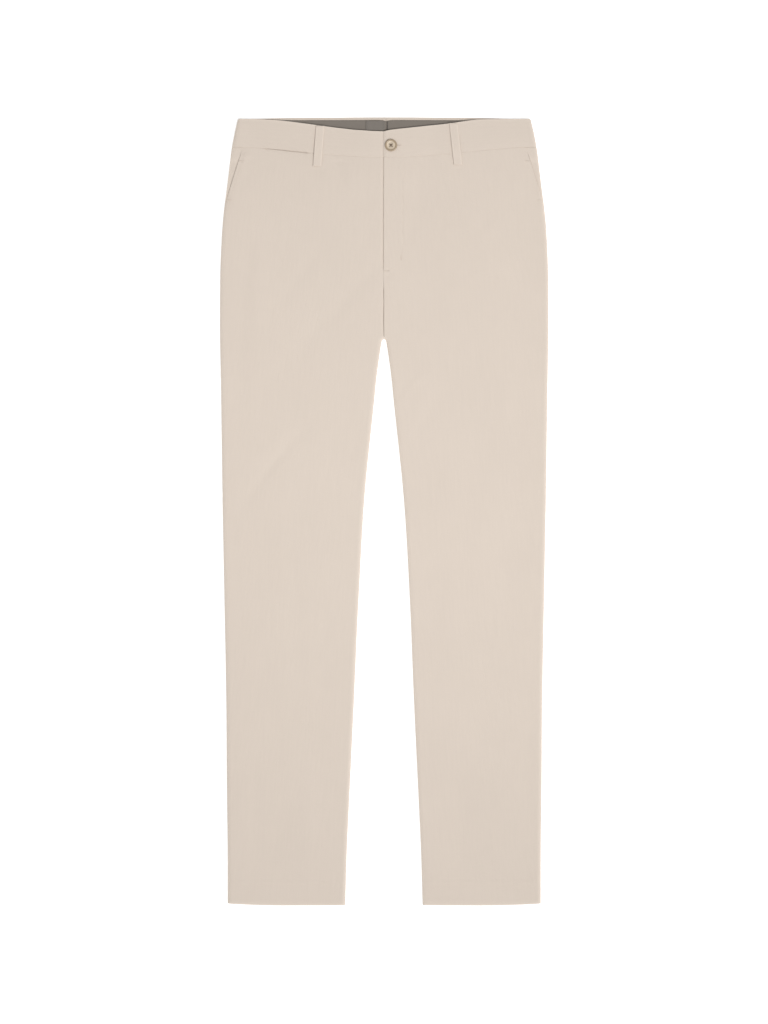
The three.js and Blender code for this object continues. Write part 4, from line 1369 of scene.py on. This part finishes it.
def sew_label():
    """The bare label, with rounded corners, held by a row of stitches at either end."""
    box = node_box("inner_patch")
    rows = box.foot + (box.head - box.foot) * eased(15)
    middle, half = (box.left + box.right) / 2, (box.right - box.left) / 2

    def rounded(column, row):
        inward = np.clip(np.minimum(row - box.foot, box.head - row), 0, LABEL_CORNER)
        trim = LABEL_CORNER - np.sqrt(LABEL_CORNER**2 - (LABEL_CORNER - inward) ** 2)
        return middle + column * (half - trim)

    def under(x, y):
        return back_inside(x, y) + LINING + 2 * SEAM_GAP

    outer, inner = strip(np.linspace(-1, 1, 33), rows, under,
                         lambda x, y: LABEL + 0.12 * ripple(x, 13.0, 7.0), x_at=rounded)
    cloth_piece("label_bare", outer, inner, (0.3, 0.3, 0.3, 0.3), label_cloth(), "patch",
                ["inner_patch"])
    inset = LABEL_STITCH_INSET
    ys = np.linspace(box.foot + inset, box.head - inset, 12)
    runs = [on_surface(lambda x, y: under(x, y) + LABEL + 0.05, np.full(12, edge), ys)
            for edge in (box.left + inset, box.right - inset)]
    sewing("label_stitching", runs, lining_thread(), "patch", length=1.6, spacing=2.0, width=0.3)


def loop_seat(loop):
    """The layer that a belt loop lies on."""
    if loop.back:
        return lambda x, y: 0.0 * x
    below = right_height if loop.node.endswith("right") else front_height
    return lambda x, y: below(x, y) + SEAM_GAP + BAND_PROUD


def belt_loop(loop):
    """One loop of folded cloth. Gives its stitching and its tacks, where they show."""
    box = node_box(loop.node)
    foot, head = box.foot, box.head
    seat = loop_seat(loop)

    def middle(y):
        return (box.left + box.right) / 2 + loop.lean * ((y - foot) / (head - foot) - 0.5)

    def under(x, y):
        """A front loop bows up and lies closer to the band along its left-hand edge."""
        rise = np.sin(np.pi * np.clip((y - foot) / (head - foot), 0, 1)) ** 2
        return seat(x, y) + (0.0 if loop.back else 0.7 * rise)

    def thick(x, y):
        across = (x - middle(y)) / LOOP_HALF
        ends = quarter_round(np.minimum(y - foot, head - y), 1.6)
        edges = quarter_round(LOOP_HALF * (1 - np.abs(across)), 1.2)
        pressed = 0.0 if loop.back else 0.65 * smooth(-0.5, 1.0, across)
        return LOOP_THICKNESS - pressed - 0.5 * (1 - ends) - 0.35 * (1 - edges)

    def top(x, y):
        return under(x, y) + thick(x, y)

    half = LOOP_HALF - 0.5
    columns = np.concatenate([[-half, -half + 0.3, -half + 0.7], np.linspace(-4.4, 4.4, 9),
                              [half - 0.7, half - 0.3, half]])
    rows = mix(foot + 0.5, head - 0.5, eased(40))
    outer, inner = strip(columns, rows, under, thick, x_at=lambda column, row: column + middle(row))
    from_middle = np.abs(outer[:, :, 0] - middle(outer[:, :, 1]))
    cloth_piece(f"cloth_{loop.node}", outer, inner, (0.5, 0.5, 0.5, 0.5), corduroy(),
                "corduroy", [loop.node], wear=bell(from_middle - LOOP_HALF, 1.4))
    if loop.back:
        return [], []
    along = np.linspace(foot + 3, head - 3, 40)
    across = np.linspace(-5.2, 5.2, 12)
    rows_of_stitches = [on_surface(top, edge + middle(along), along, -0.08)
                        for edge in (-3.9, 3.9)]
    tacks = [on_surface(top, across + middle(place), np.full(12, place), -0.05)
             for place in (foot + 0.7, head - 2.4)]
    return rows_of_stitches, tacks


def sew_loops():
    rows_of_stitches, tacks = [], []
    for loop in LOOPS:
        stitched, tacked = belt_loop(loop)
        rows_of_stitches += stitched
        tacks += tacked
    sewing("loop_stitching", rows_of_stitches, cloth_thread())
    tack("loop_tacks", tacks, 1.7)


def pocket_facing(side, word):
    """Forms the side fold inside the slanted mouth and runs on under the front."""
    rows = stops((POCKET_FOOT_Y + 1.5, BAND_SIDE_Y, 2.4))[:, None]
    base = FOLD_HEIGHT + SEAM_GAP / 2
    rise = node_box(f"pocket_facing_{word}").high - base
    mouth = pocket_inset(rows)
    angles = np.radians(np.linspace(0, 90, 10))
    steps = np.concatenate([
        (mouth - 1.2) * (1 - np.cos(angles)),
        mouth - np.array([1.0, 0.8, 0.6, 0.4, 0.2]),
        mix(mouth, mouth + POCKET_UNDERLAP, np.linspace(0, 1, 8)),
    ], axis=1)
    x = side * (outer_at(rows) - steps)
    y = seam_row(rows, x)
    roll = quarter_round(steps, FOLD_REACH)
    closed = mouth_closed(rows)
    shows = 1 - smooth(mouth - mix(1.1, 0.4, closed), mouth - 0.1, steps)
    up = mix(0.2, 1.2, closed) * shows
    outer = np.stack([x, y, base + (rise + up) * roll], axis=-1)
    inside_x = x - side * cloth_thickness() * (1 - roll)
    inner = np.stack([inside_x, y, base + (rise - LINING) * roll + 0.0 * x], axis=-1)
    worn = bell(steps, 2.0)
    cloth_piece(f"cloth_pocket_facing_{word}", outer, inner, (0.0, 0.0, 0.0, 0.3), corduroy(),
                "corduroy", [f"pocket_facing_{word}"], wear=worn)


def front_top(side):
    """Top of a front panel with its fine relief."""
    height, relief = (front_height, left_relief) if side > 0 else (right_height, panel_relief)
    return lambda x, y: height(x, y) + relief(x, y) + mouth_lip(x, y) - mouth_press(x, y)


def sew_pockets():
    runs, tacks = [], []
    for side, word in SIDES:
        pocket_facing(side, word)
        ys = np.linspace(POCKET_FOOT_Y + 1, 1078, 60)
        xs = side * (outer_at(ys) - pocket_inset(ys) - POCKET_STITCH_INSET)
        runs.append(on_surface(front_top(side), xs, ys))
        for place in (POCKET_FOOT_Y + 3, POCKET_HEAD_Y):
            inward = np.linspace(0.8, 7.4, 8)
            xs = side * (outer_at(place) - pocket_inset(place) - inward)
            tacks.append(on_surface(front_top(side), xs, np.full(8, place), 0.1))
    box = node_box("ticket_pocket")
    outer, inner = strip(
        np.linspace(box.left, box.right, 30), np.linspace(-24, 3, 12),
        lambda x, y: front_height(x, y) - cloth_thickness() - SEAM_GAP - LINING, LINING,
        y_at=lambda x, row: band_seam_y(x) + row)
    cloth_piece("cloth_ticket_pocket", outer, inner, (0.3, 0.3, 0.3, 0.3), corduroy(),
                "corduroy", ["ticket_pocket"])
    sewing("pocket_stitching", runs, cloth_thread())
    tack("pocket_tacks", tacks, 1.6)


def set_fly():
    box = node_box("fly_shield")
    middle = (box.left + box.right) / 2

    def narrowed(column, row):
        narrow = 0.4 * (1 - smooth(box.foot, box.foot + 6, row))
        return middle + (column - middle) * (1 - narrow)

    outer, inner = strip(
        np.linspace(box.left, box.right, 24), stops((box.foot, box.head, 3.0)),
        lambda x, y: centre_lift(x, y) + cloth_thickness() + SEAM_GAP, LINING, x_at=narrowed)
    cloth_piece("cloth_fly_shield", outer, inner, (0.3, 0.3, 0.3, 0.3), corduroy(), "corduroy",
                ["fly_shield"])
    set_zip()
    angles = np.linspace(0, math.pi / 2, 30)[1:]
    xs = np.concatenate([np.full(80, FLY_STITCH_X),
                         mix(FLY_CURVE_END_X, FLY_STITCH_X, np.cos(angles))])
    ys = np.concatenate([np.linspace(1062, FLY_CURVE_Y, 80),
                         mix(FLY_CURVE_Y, FLY_CURVE_END_Y, np.sin(angles))])
    top = front_top(1)
    sewing("fly_stitching", [on_surface(top, xs, ys)], cloth_thread())
    tacks = [
        on_surface(top, np.linspace(-0.4, 7.2, 10), np.full(10, FLY_END_Y + 0.7), 0.12),
        on_surface(top, np.full(8, FLY_STITCH_X - 2.3), np.linspace(922.5, 930.5, 8), 0.1),
    ]
    tack("fly_tacks", tacks, 1.8)


def set_zip():
    """Tape, two rows of teeth that mesh, and the slider at the top."""
    box = node_box("zip_tape")
    outer, inner = strip(
        np.linspace(box.left, box.right, 17), stops((box.foot, box.head, 4.0)),
        lambda x, y: centre_lift(x, y) + 2.95, 0.75)
    cloth_piece("zip_tape_woven", outer, inner, (0.2, 0.2, 0.2, 0.2), tape_cloth(), "zip_tape",
                ["zip_tape"])
    runs = []
    for side in (-1, 1):
        first = box.foot + 3 + (side > 0) * ZIP_PITCH / 2
        ys = np.arange(first, box.head - 1, ZIP_PITCH / 2)
        xs = np.full(len(ys), (box.left + box.right) / 2 + side * 0.75)
        runs.append(on_surface(lambda x, y: centre_lift(x, y) + 3.55, xs, ys, 0.0))
    teeth = run_along("zip_teeth", runs, zip_metal(), "tooth", Spacing=ZIP_PITCH * MM,
                      Length=1.15 * MM, Width=2.6 * MM, Height=1.0 * MM, Turn=0.0, Unevenness=0.0)
    add_piece(teeth, zip_metal(), "zip_metal")
    slider()


def slider():
    """A small shield-shaped slider with a raised bridge."""
    box = node_box("zip_slider")
    middle = (box.left + box.right) / 2
    ys = mix(box.foot + 0.3, box.head - 0.3, eased(18))
    share = (ys - box.foot) / (box.head - box.foot)
    half = mix(3.2, 5.1, smooth(0.1, 0.8, share)) - 1.6 * (1 - quarter_round(1 - share, 0.18))
    across = np.sin(np.linspace(-math.pi / 2, math.pi / 2, 15))
    column, row = np.meshgrid(across, np.arange(len(ys)))
    x = middle + column * half[row]
    y = ys[row]
    bridge = 0.28 * bell(x - middle, 1.1) * bell(y - (box.foot + box.head) / 2, 2.6)
    top = box.high - 0.3 + bridge - 0.15 * column**4
    outer = np.stack([x, y, top], axis=-1)
    inner = np.stack([x, y, box.low + 0.15 + 0.0 * x], axis=-1)
    points, faces, _ = closed_wall(outer, inner, (0.25, 0.25, 0.25, 0.25))
    mesh = mesh_from("zip_slider_body", points, facing_out(points, faces), sharp=40)
    return add_piece(mesh, zip_metal(), "zip_metal", "zip_slider")


# ---- Button ----
def button_profile():
    """Half section of the disc, from the middle below to the middle above."""
    r = BUTTON_RADIUS
    return [
        RingPoint(0.0, 0.0), RingPoint(r * 0.5, 0.0), RingPoint(r - 1.8, 0.0),
        RingPoint(r - 0.9, 0.25), RingPoint(r - 0.35, 0.75), RingPoint(r - 0.05, 1.3),
        RingPoint(r, 1.7), RingPoint(r - 0.15, 2.2), RingPoint(r - 0.55, 2.6),
        RingPoint(r - 1.05, 2.8), RingPoint(r - 1.5, 2.75), RingPoint(r - 2.0, 2.45),
        RingPoint(r - 2.5, 2.0), RingPoint(r - 3.1, 1.72), RingPoint(r - 4.0, 1.62),
        RingPoint(r * 0.3, BUTTON_DISH), RingPoint(0.0, BUTTON_DISH),
    ]


def circle_at(x, y, z, radius, angles):
    return [(x + radius * math.cos(t), y + radius * math.sin(t), z) for t in angles]


def turned_disc(name, profile, segments):
    """A lathe shape as a closed mesh with triangles at its poles."""
    rings = profile[1:-1]
    angles = np.linspace(0, 2 * math.pi, segments, endpoint=False)
    points = [(BUTTON_X, BUTTON_Y, BUTTON.low + profile[0].height)]
    for ring in rings:
        points += circle_at(BUTTON_X, BUTTON_Y, BUTTON.low + ring.height, ring.radius, angles)
    points.append((BUTTON_X, BUTTON_Y, BUTTON.low + profile[-1].height))
    faces = []
    last = len(points) - 1
    top = 1 + (len(rings) - 1) * segments
    for k in range(segments):
        n = (k + 1) % segments
        faces.append((0, 1 + n, 1 + k))
        for a in range(1, top, segments):
            b = a + segments
            faces.append((a + k, a + n, b + n, b + k))
        faces.append((top + k, top + n, last))
    mesh = bpy.data.meshes.new(name)
    mesh.from_pydata(laid(np.array(points)).tolist(), [], faces)
    return mesh


def button_holes():
    for turn in (45, 135, 225, 315):
        angle = math.radians(turn)
        yield BUTTON_X + HOLE_CENTRE * math.cos(angle), BUTTON_Y + HOLE_CENTRE * math.sin(angle)


def sew_button():
    blank = turned_disc("button_blank", button_profile(), 96)
    disc = bpy.data.objects.new("button_blank", blank)
    bpy.context.scene.collection.objects.link(disc)
    cutters = []
    for x, y in button_holes():
        bpy.ops.mesh.primitive_cylinder_add(
            vertices=28, radius=HOLE_RADIUS * MM, depth=8 * MM,
            location=(x * MM, y * MM + HEM_Y, BUTTON.low * MM))
        cutters.append(bpy.context.object)
        modifier = disc.modifiers.new("hole", "BOOLEAN")
        modifier.operation = "DIFFERENCE"
        modifier.solver = "EXACT"
        modifier.object = cutters[-1]
    ready = disc.evaluated_get(bpy.context.evaluated_depsgraph_get())
    mesh = bpy.data.meshes.new_from_object(ready)
    for spare in (disc, *cutters):
        bpy.data.objects.remove(spare)
    mesh.name = "button_disc"
    place = np.array([vertex.co[:] for vertex in mesh.vertices]) / MM
    radius = np.hypot(place[:, 0] - BUTTON_X, place[:, 1] - HEM_Y / MM - BUTTON_Y)
    # Mask for the darker rim colour, which is partly painted shade of the sloping rim.
    set_values(mesh, "rim", smooth(BUTTON_RADIUS - 3.1, BUTTON_RADIUS - 2.1, radius))
    mesh.shade_smooth()
    mesh.set_sharp_from_angle(angle=math.radians(50))
    add_piece(mesh, button_resin(), "button", "button")
    button_thread()
    buttonhole()


def closed_tube(rings, start):
    """Faces of a closed tube through equal rings of points, numbered from the start."""
    count = len(rings[0])
    number = start + np.arange(len(rings) * count).reshape(len(rings), count)
    faces = []
    for lower, upper in zip(number, number[1:]):
        faces += list(zip(lower, np.roll(lower, -1), np.roll(upper, -1), upper))
    return faces + [tuple(number[0][::-1]), tuple(number[-1])]


def thread_rings(path, radius, sides=10):
    """Rings of points round a thread that follows a path."""
    ahead = np.gradient(path, axis=0)
    ahead /= np.linalg.norm(ahead, axis=1, keepdims=True)
    sideways = np.cross(ahead, (0.0, 0.0, 1.0))
    sideways /= np.linalg.norm(sideways, axis=1, keepdims=True)
    upward = np.cross(sideways, ahead)
    angles = np.linspace(0, 2 * math.pi, sides, endpoint=False)[:, None]
    ring = sideways[:, None] * np.cos(angles) + upward[:, None] * np.sin(angles)
    return path[:, None] + ring * radius


def button_strands():
    """Paths of the crossed strands, three to a pair of holes."""
    holes = [np.array(hole) for hole in button_holes()]
    t = np.linspace(0, 1, 25)
    arch = np.sin(np.pi * t)
    for start, end, lift in ((holes[0], holes[2], 0.12), (holes[1], holes[3], 0.42)):
        sideways = np.array([end[1] - start[1], start[0] - end[0]]) / np.linalg.norm(end - start)
        for offset in (-0.5, 0.0, 0.5):
            spread = (offset * (0.35 + 0.65 * arch))[:, None]
            flat = mix(start, end, t[:, None]) + sideways * spread
            drop = 1.3 * (bell(t, 0.07) + bell(1 - t, 0.07))
            yield np.column_stack([flat, BUTTON.low + BUTTON_DISH + 0.28 + lift * arch - drop])


def button_thread():
    """Crossed strands through the four holes, and the shank below the button."""
    tubes = [thread_rings(path, 0.3) for path in button_strands()]
    foot = front_height(np.array(BUTTON_X), np.array(BUTTON_Y)) - 0.2
    top = BUTTON.low + 0.2
    angles = np.linspace(0, 2 * math.pi, 14, endpoint=False)
    tubes.append(np.array([
        circle_at(BUTTON_X + 0.3 * math.sin(k), BUTTON_Y, mix(foot, top, k / 5), 1.6, angles)
        for k in range(6)]))
    points, faces = [], []
    for rings in tubes:
        faces += closed_tube(rings, len(points))
        points += rings.reshape(-1, 3).tolist()
    mesh = bpy.data.meshes.new("button_thread")
    mesh.from_pydata(laid(np.array(points)).tolist(), [],
                     [tuple(int(i) for i in face) for face in faces])
    mesh.shade_smooth()
    return add_piece(mesh, dark_thread(), "button")


def band_top(x, y):
    """The face of the band at the buttonhole."""
    return front_height(x, y) + BAND_PROUD + 0.2


def buttonhole():
    """Close satin stitches round the slit, with an eye at the end away from the button."""
    slit_from, slit_to, half = BUTTON_X - 4.0, BUTTON_X + 13.2, 0.95
    xs = np.linspace(slit_from, slit_to, 34)
    turn = np.linspace(-math.pi / 2, math.pi / 2, 12)
    runs = [on_surface(band_top, xs, np.full(34, BUTTON_Y + edge), 0.05) for edge in (-half, half)]
    runs.append(on_surface(
        band_top, slit_to + half * np.cos(turn), BUTTON_Y + half * np.sin(turn), 0.05))
    sewing("buttonhole_stitching", runs, cloth_thread(),
           length=1.5, spacing=0.4, across=True, width=0.36)


# ---- Stage ----
def place_lamp(lamp, place):
    """A lamp at its place, aimed at the middle of the trousers."""
    holder = bpy.data.objects.new(lamp.name, lamp)
    holder.location = place
    holder.rotation_euler = (-holder.location).to_track_quat("-Z", "Y").to_euler()
    bpy.context.scene.collection.objects.link(holder)


def make_stage():
    """The floor, the camera straight above, and the light."""
    studio = bpy.context.scene.trouser_studio
    scene = bpy.context.scene
    half, low = 4.0, -0.0002
    corners = [(-half, -half, low), (half, -half, low), (half, half, low), (-half, half, low)]
    floor = bpy.data.meshes.new("studio_floor")
    floor.from_pydata(corners, [], [(0, 1, 2, 3)])
    floor.materials.append(floor_finish(studio))
    floor_object = bpy.data.objects.new("studio_floor", floor)
    scene.collection.objects.link(floor_object)

    camera = bpy.data.cameras.new("camera")
    camera.sensor_width = 36.0
    camera.lens = camera.sensor_width * studio.camera_height / studio.view_height
    camera.clip_end = 50.0
    camera_object = bpy.data.objects.new("camera", camera)
    camera_object.location = (0.0, 0.0, studio.camera_height + LAID_HEIGHT * MM)
    scene.collection.objects.link(camera_object)
    scene.camera = camera_object

    lamp = bpy.data.lights.new("key", "SUN")
    lamp.angle = math.radians(20)
    lamp.energy = studio.key
    lamp.color = (1.0, 0.99, 0.975)
    place_lamp(lamp, (3.6, -4.0, 6.8))
    overhead = bpy.data.lights.new("fill", "AREA")
    overhead.shape = "RECTANGLE"
    overhead.size, overhead.size_y = 0.5, 0.8
    overhead.energy = studio.fill
    place_lamp(overhead, (0.14, 0.06, 1.2))

    world = bpy.data.worlds.new("studio")
    world.use_nodes = True
    background = world.node_tree.nodes["Background"]
    background.inputs["Color"].default_value = (1.0, 1.0, 1.0, 1.0)
    background.inputs["Strength"].default_value = studio.sky
    scene.world = world
    scene.view_settings.view_transform = "Standard"


# ---- Operators ----
class TROUSERS_OT_stage(bpy.types.Operator):
    """Set up the pale floor, the soft light and the camera"""
    bl_idname = "trousers.stage"
    bl_label = "Set the stage"

    def execute(self, context):
        make_stage()
        return {"FINISHED"}


class TROUSERS_OT_legs(bpy.types.Operator):
    """Cut the four leg panels"""
    bl_idname = "trousers.legs"
    bl_label = "Cut the legs"

    def execute(self, context):
        cut_legs()
        return {"FINISHED"}


class TROUSERS_OT_waistband(bpy.types.Operator):
    """Sew on both halves of the waistband"""
    bl_idname = "trousers.waistband"
    bl_label = "Sew the waistband"

    def execute(self, context):
        sew_waistband()
        return {"FINISHED"}


class TROUSERS_OT_lining(bpy.types.Operator):
    """Line the back of the waist and sew in the bare label"""
    bl_idname = "trousers.lining"
    bl_label = "Line the waist"

    def execute(self, context):
        line_waist()
        return {"FINISHED"}


class TROUSERS_OT_loops(bpy.types.Operator):
    """Sew on the five belt loops"""
    bl_idname = "trousers.loops"
    bl_label = "Sew the belt loops"

    def execute(self, context):
        sew_loops()
        return {"FINISHED"}


class TROUSERS_OT_pockets(bpy.types.Operator):
    """Sew the side pockets and the small ticket pocket"""
    bl_idname = "trousers.pockets"
    bl_label = "Sew the pockets"

    def execute(self, context):
        sew_pockets()
        return {"FINISHED"}


class TROUSERS_OT_fly(bpy.types.Operator):
    """Set the fly: shield, zip and stitching"""
    bl_idname = "trousers.fly"
    bl_label = "Set the fly"

    def execute(self, context):
        set_fly()
        return {"FINISHED"}


class TROUSERS_OT_button(bpy.types.Operator):
    """Sew on the button and work its buttonhole"""
    bl_idname = "trousers.button"
    bl_label = "Sew the button"

    def execute(self, context):
        sew_button()
        return {"FINISHED"}


OPERATORS = [
    TROUSERS_OT_stage, TROUSERS_OT_legs, TROUSERS_OT_waistband, TROUSERS_OT_lining,
    TROUSERS_OT_loops, TROUSERS_OT_pockets, TROUSERS_OT_fly, TROUSERS_OT_button,
]


class TROUSERS_PT_panel(bpy.types.Panel):
    """Lists the steps of the sewing and what can be changed"""
    bl_idname = "TROUSERS_PT_panel"
    bl_label = "Corduroy trousers"
    bl_space_type = "VIEW_3D"
    bl_region_type = "UI"
    bl_category = "Trousers"

    def draw(self, context):
        scene = context.scene
        for group in (scene.trouser_sizes, scene.trouser_colours, scene.trouser_studio):
            box = self.layout.box()
            for name in group.__annotations__:
                box.prop(group, name)
        for operator in OPERATORS:
            self.layout.operator(operator.bl_idname)


CLASSES = [TrouserSizes, TrouserColours, TrouserStudio, *OPERATORS, TROUSERS_PT_panel]


def register():
    for cls in CLASSES:
        bpy.utils.register_class(cls)
    bpy.types.Scene.trouser_sizes = bpy.props.PointerProperty(type=TrouserSizes)
    bpy.types.Scene.trouser_colours = bpy.props.PointerProperty(type=TrouserColours)
    bpy.types.Scene.trouser_studio = bpy.props.PointerProperty(type=TrouserStudio)


def unregister():
    del bpy.types.Scene.trouser_studio
    del bpy.types.Scene.trouser_colours
    del bpy.types.Scene.trouser_sizes
    for cls in reversed(CLASSES):
        bpy.utils.unregister_class(cls)


def main():
    register()
    bpy.ops.trousers.stage()
    bpy.ops.trousers.legs()
    bpy.ops.trousers.waistband()
    bpy.ops.trousers.lining()
    bpy.ops.trousers.loops()
    bpy.ops.trousers.pockets()
    bpy.ops.trousers.fly()
    bpy.ops.trousers.button()


if __name__ == "__main__":
    main()
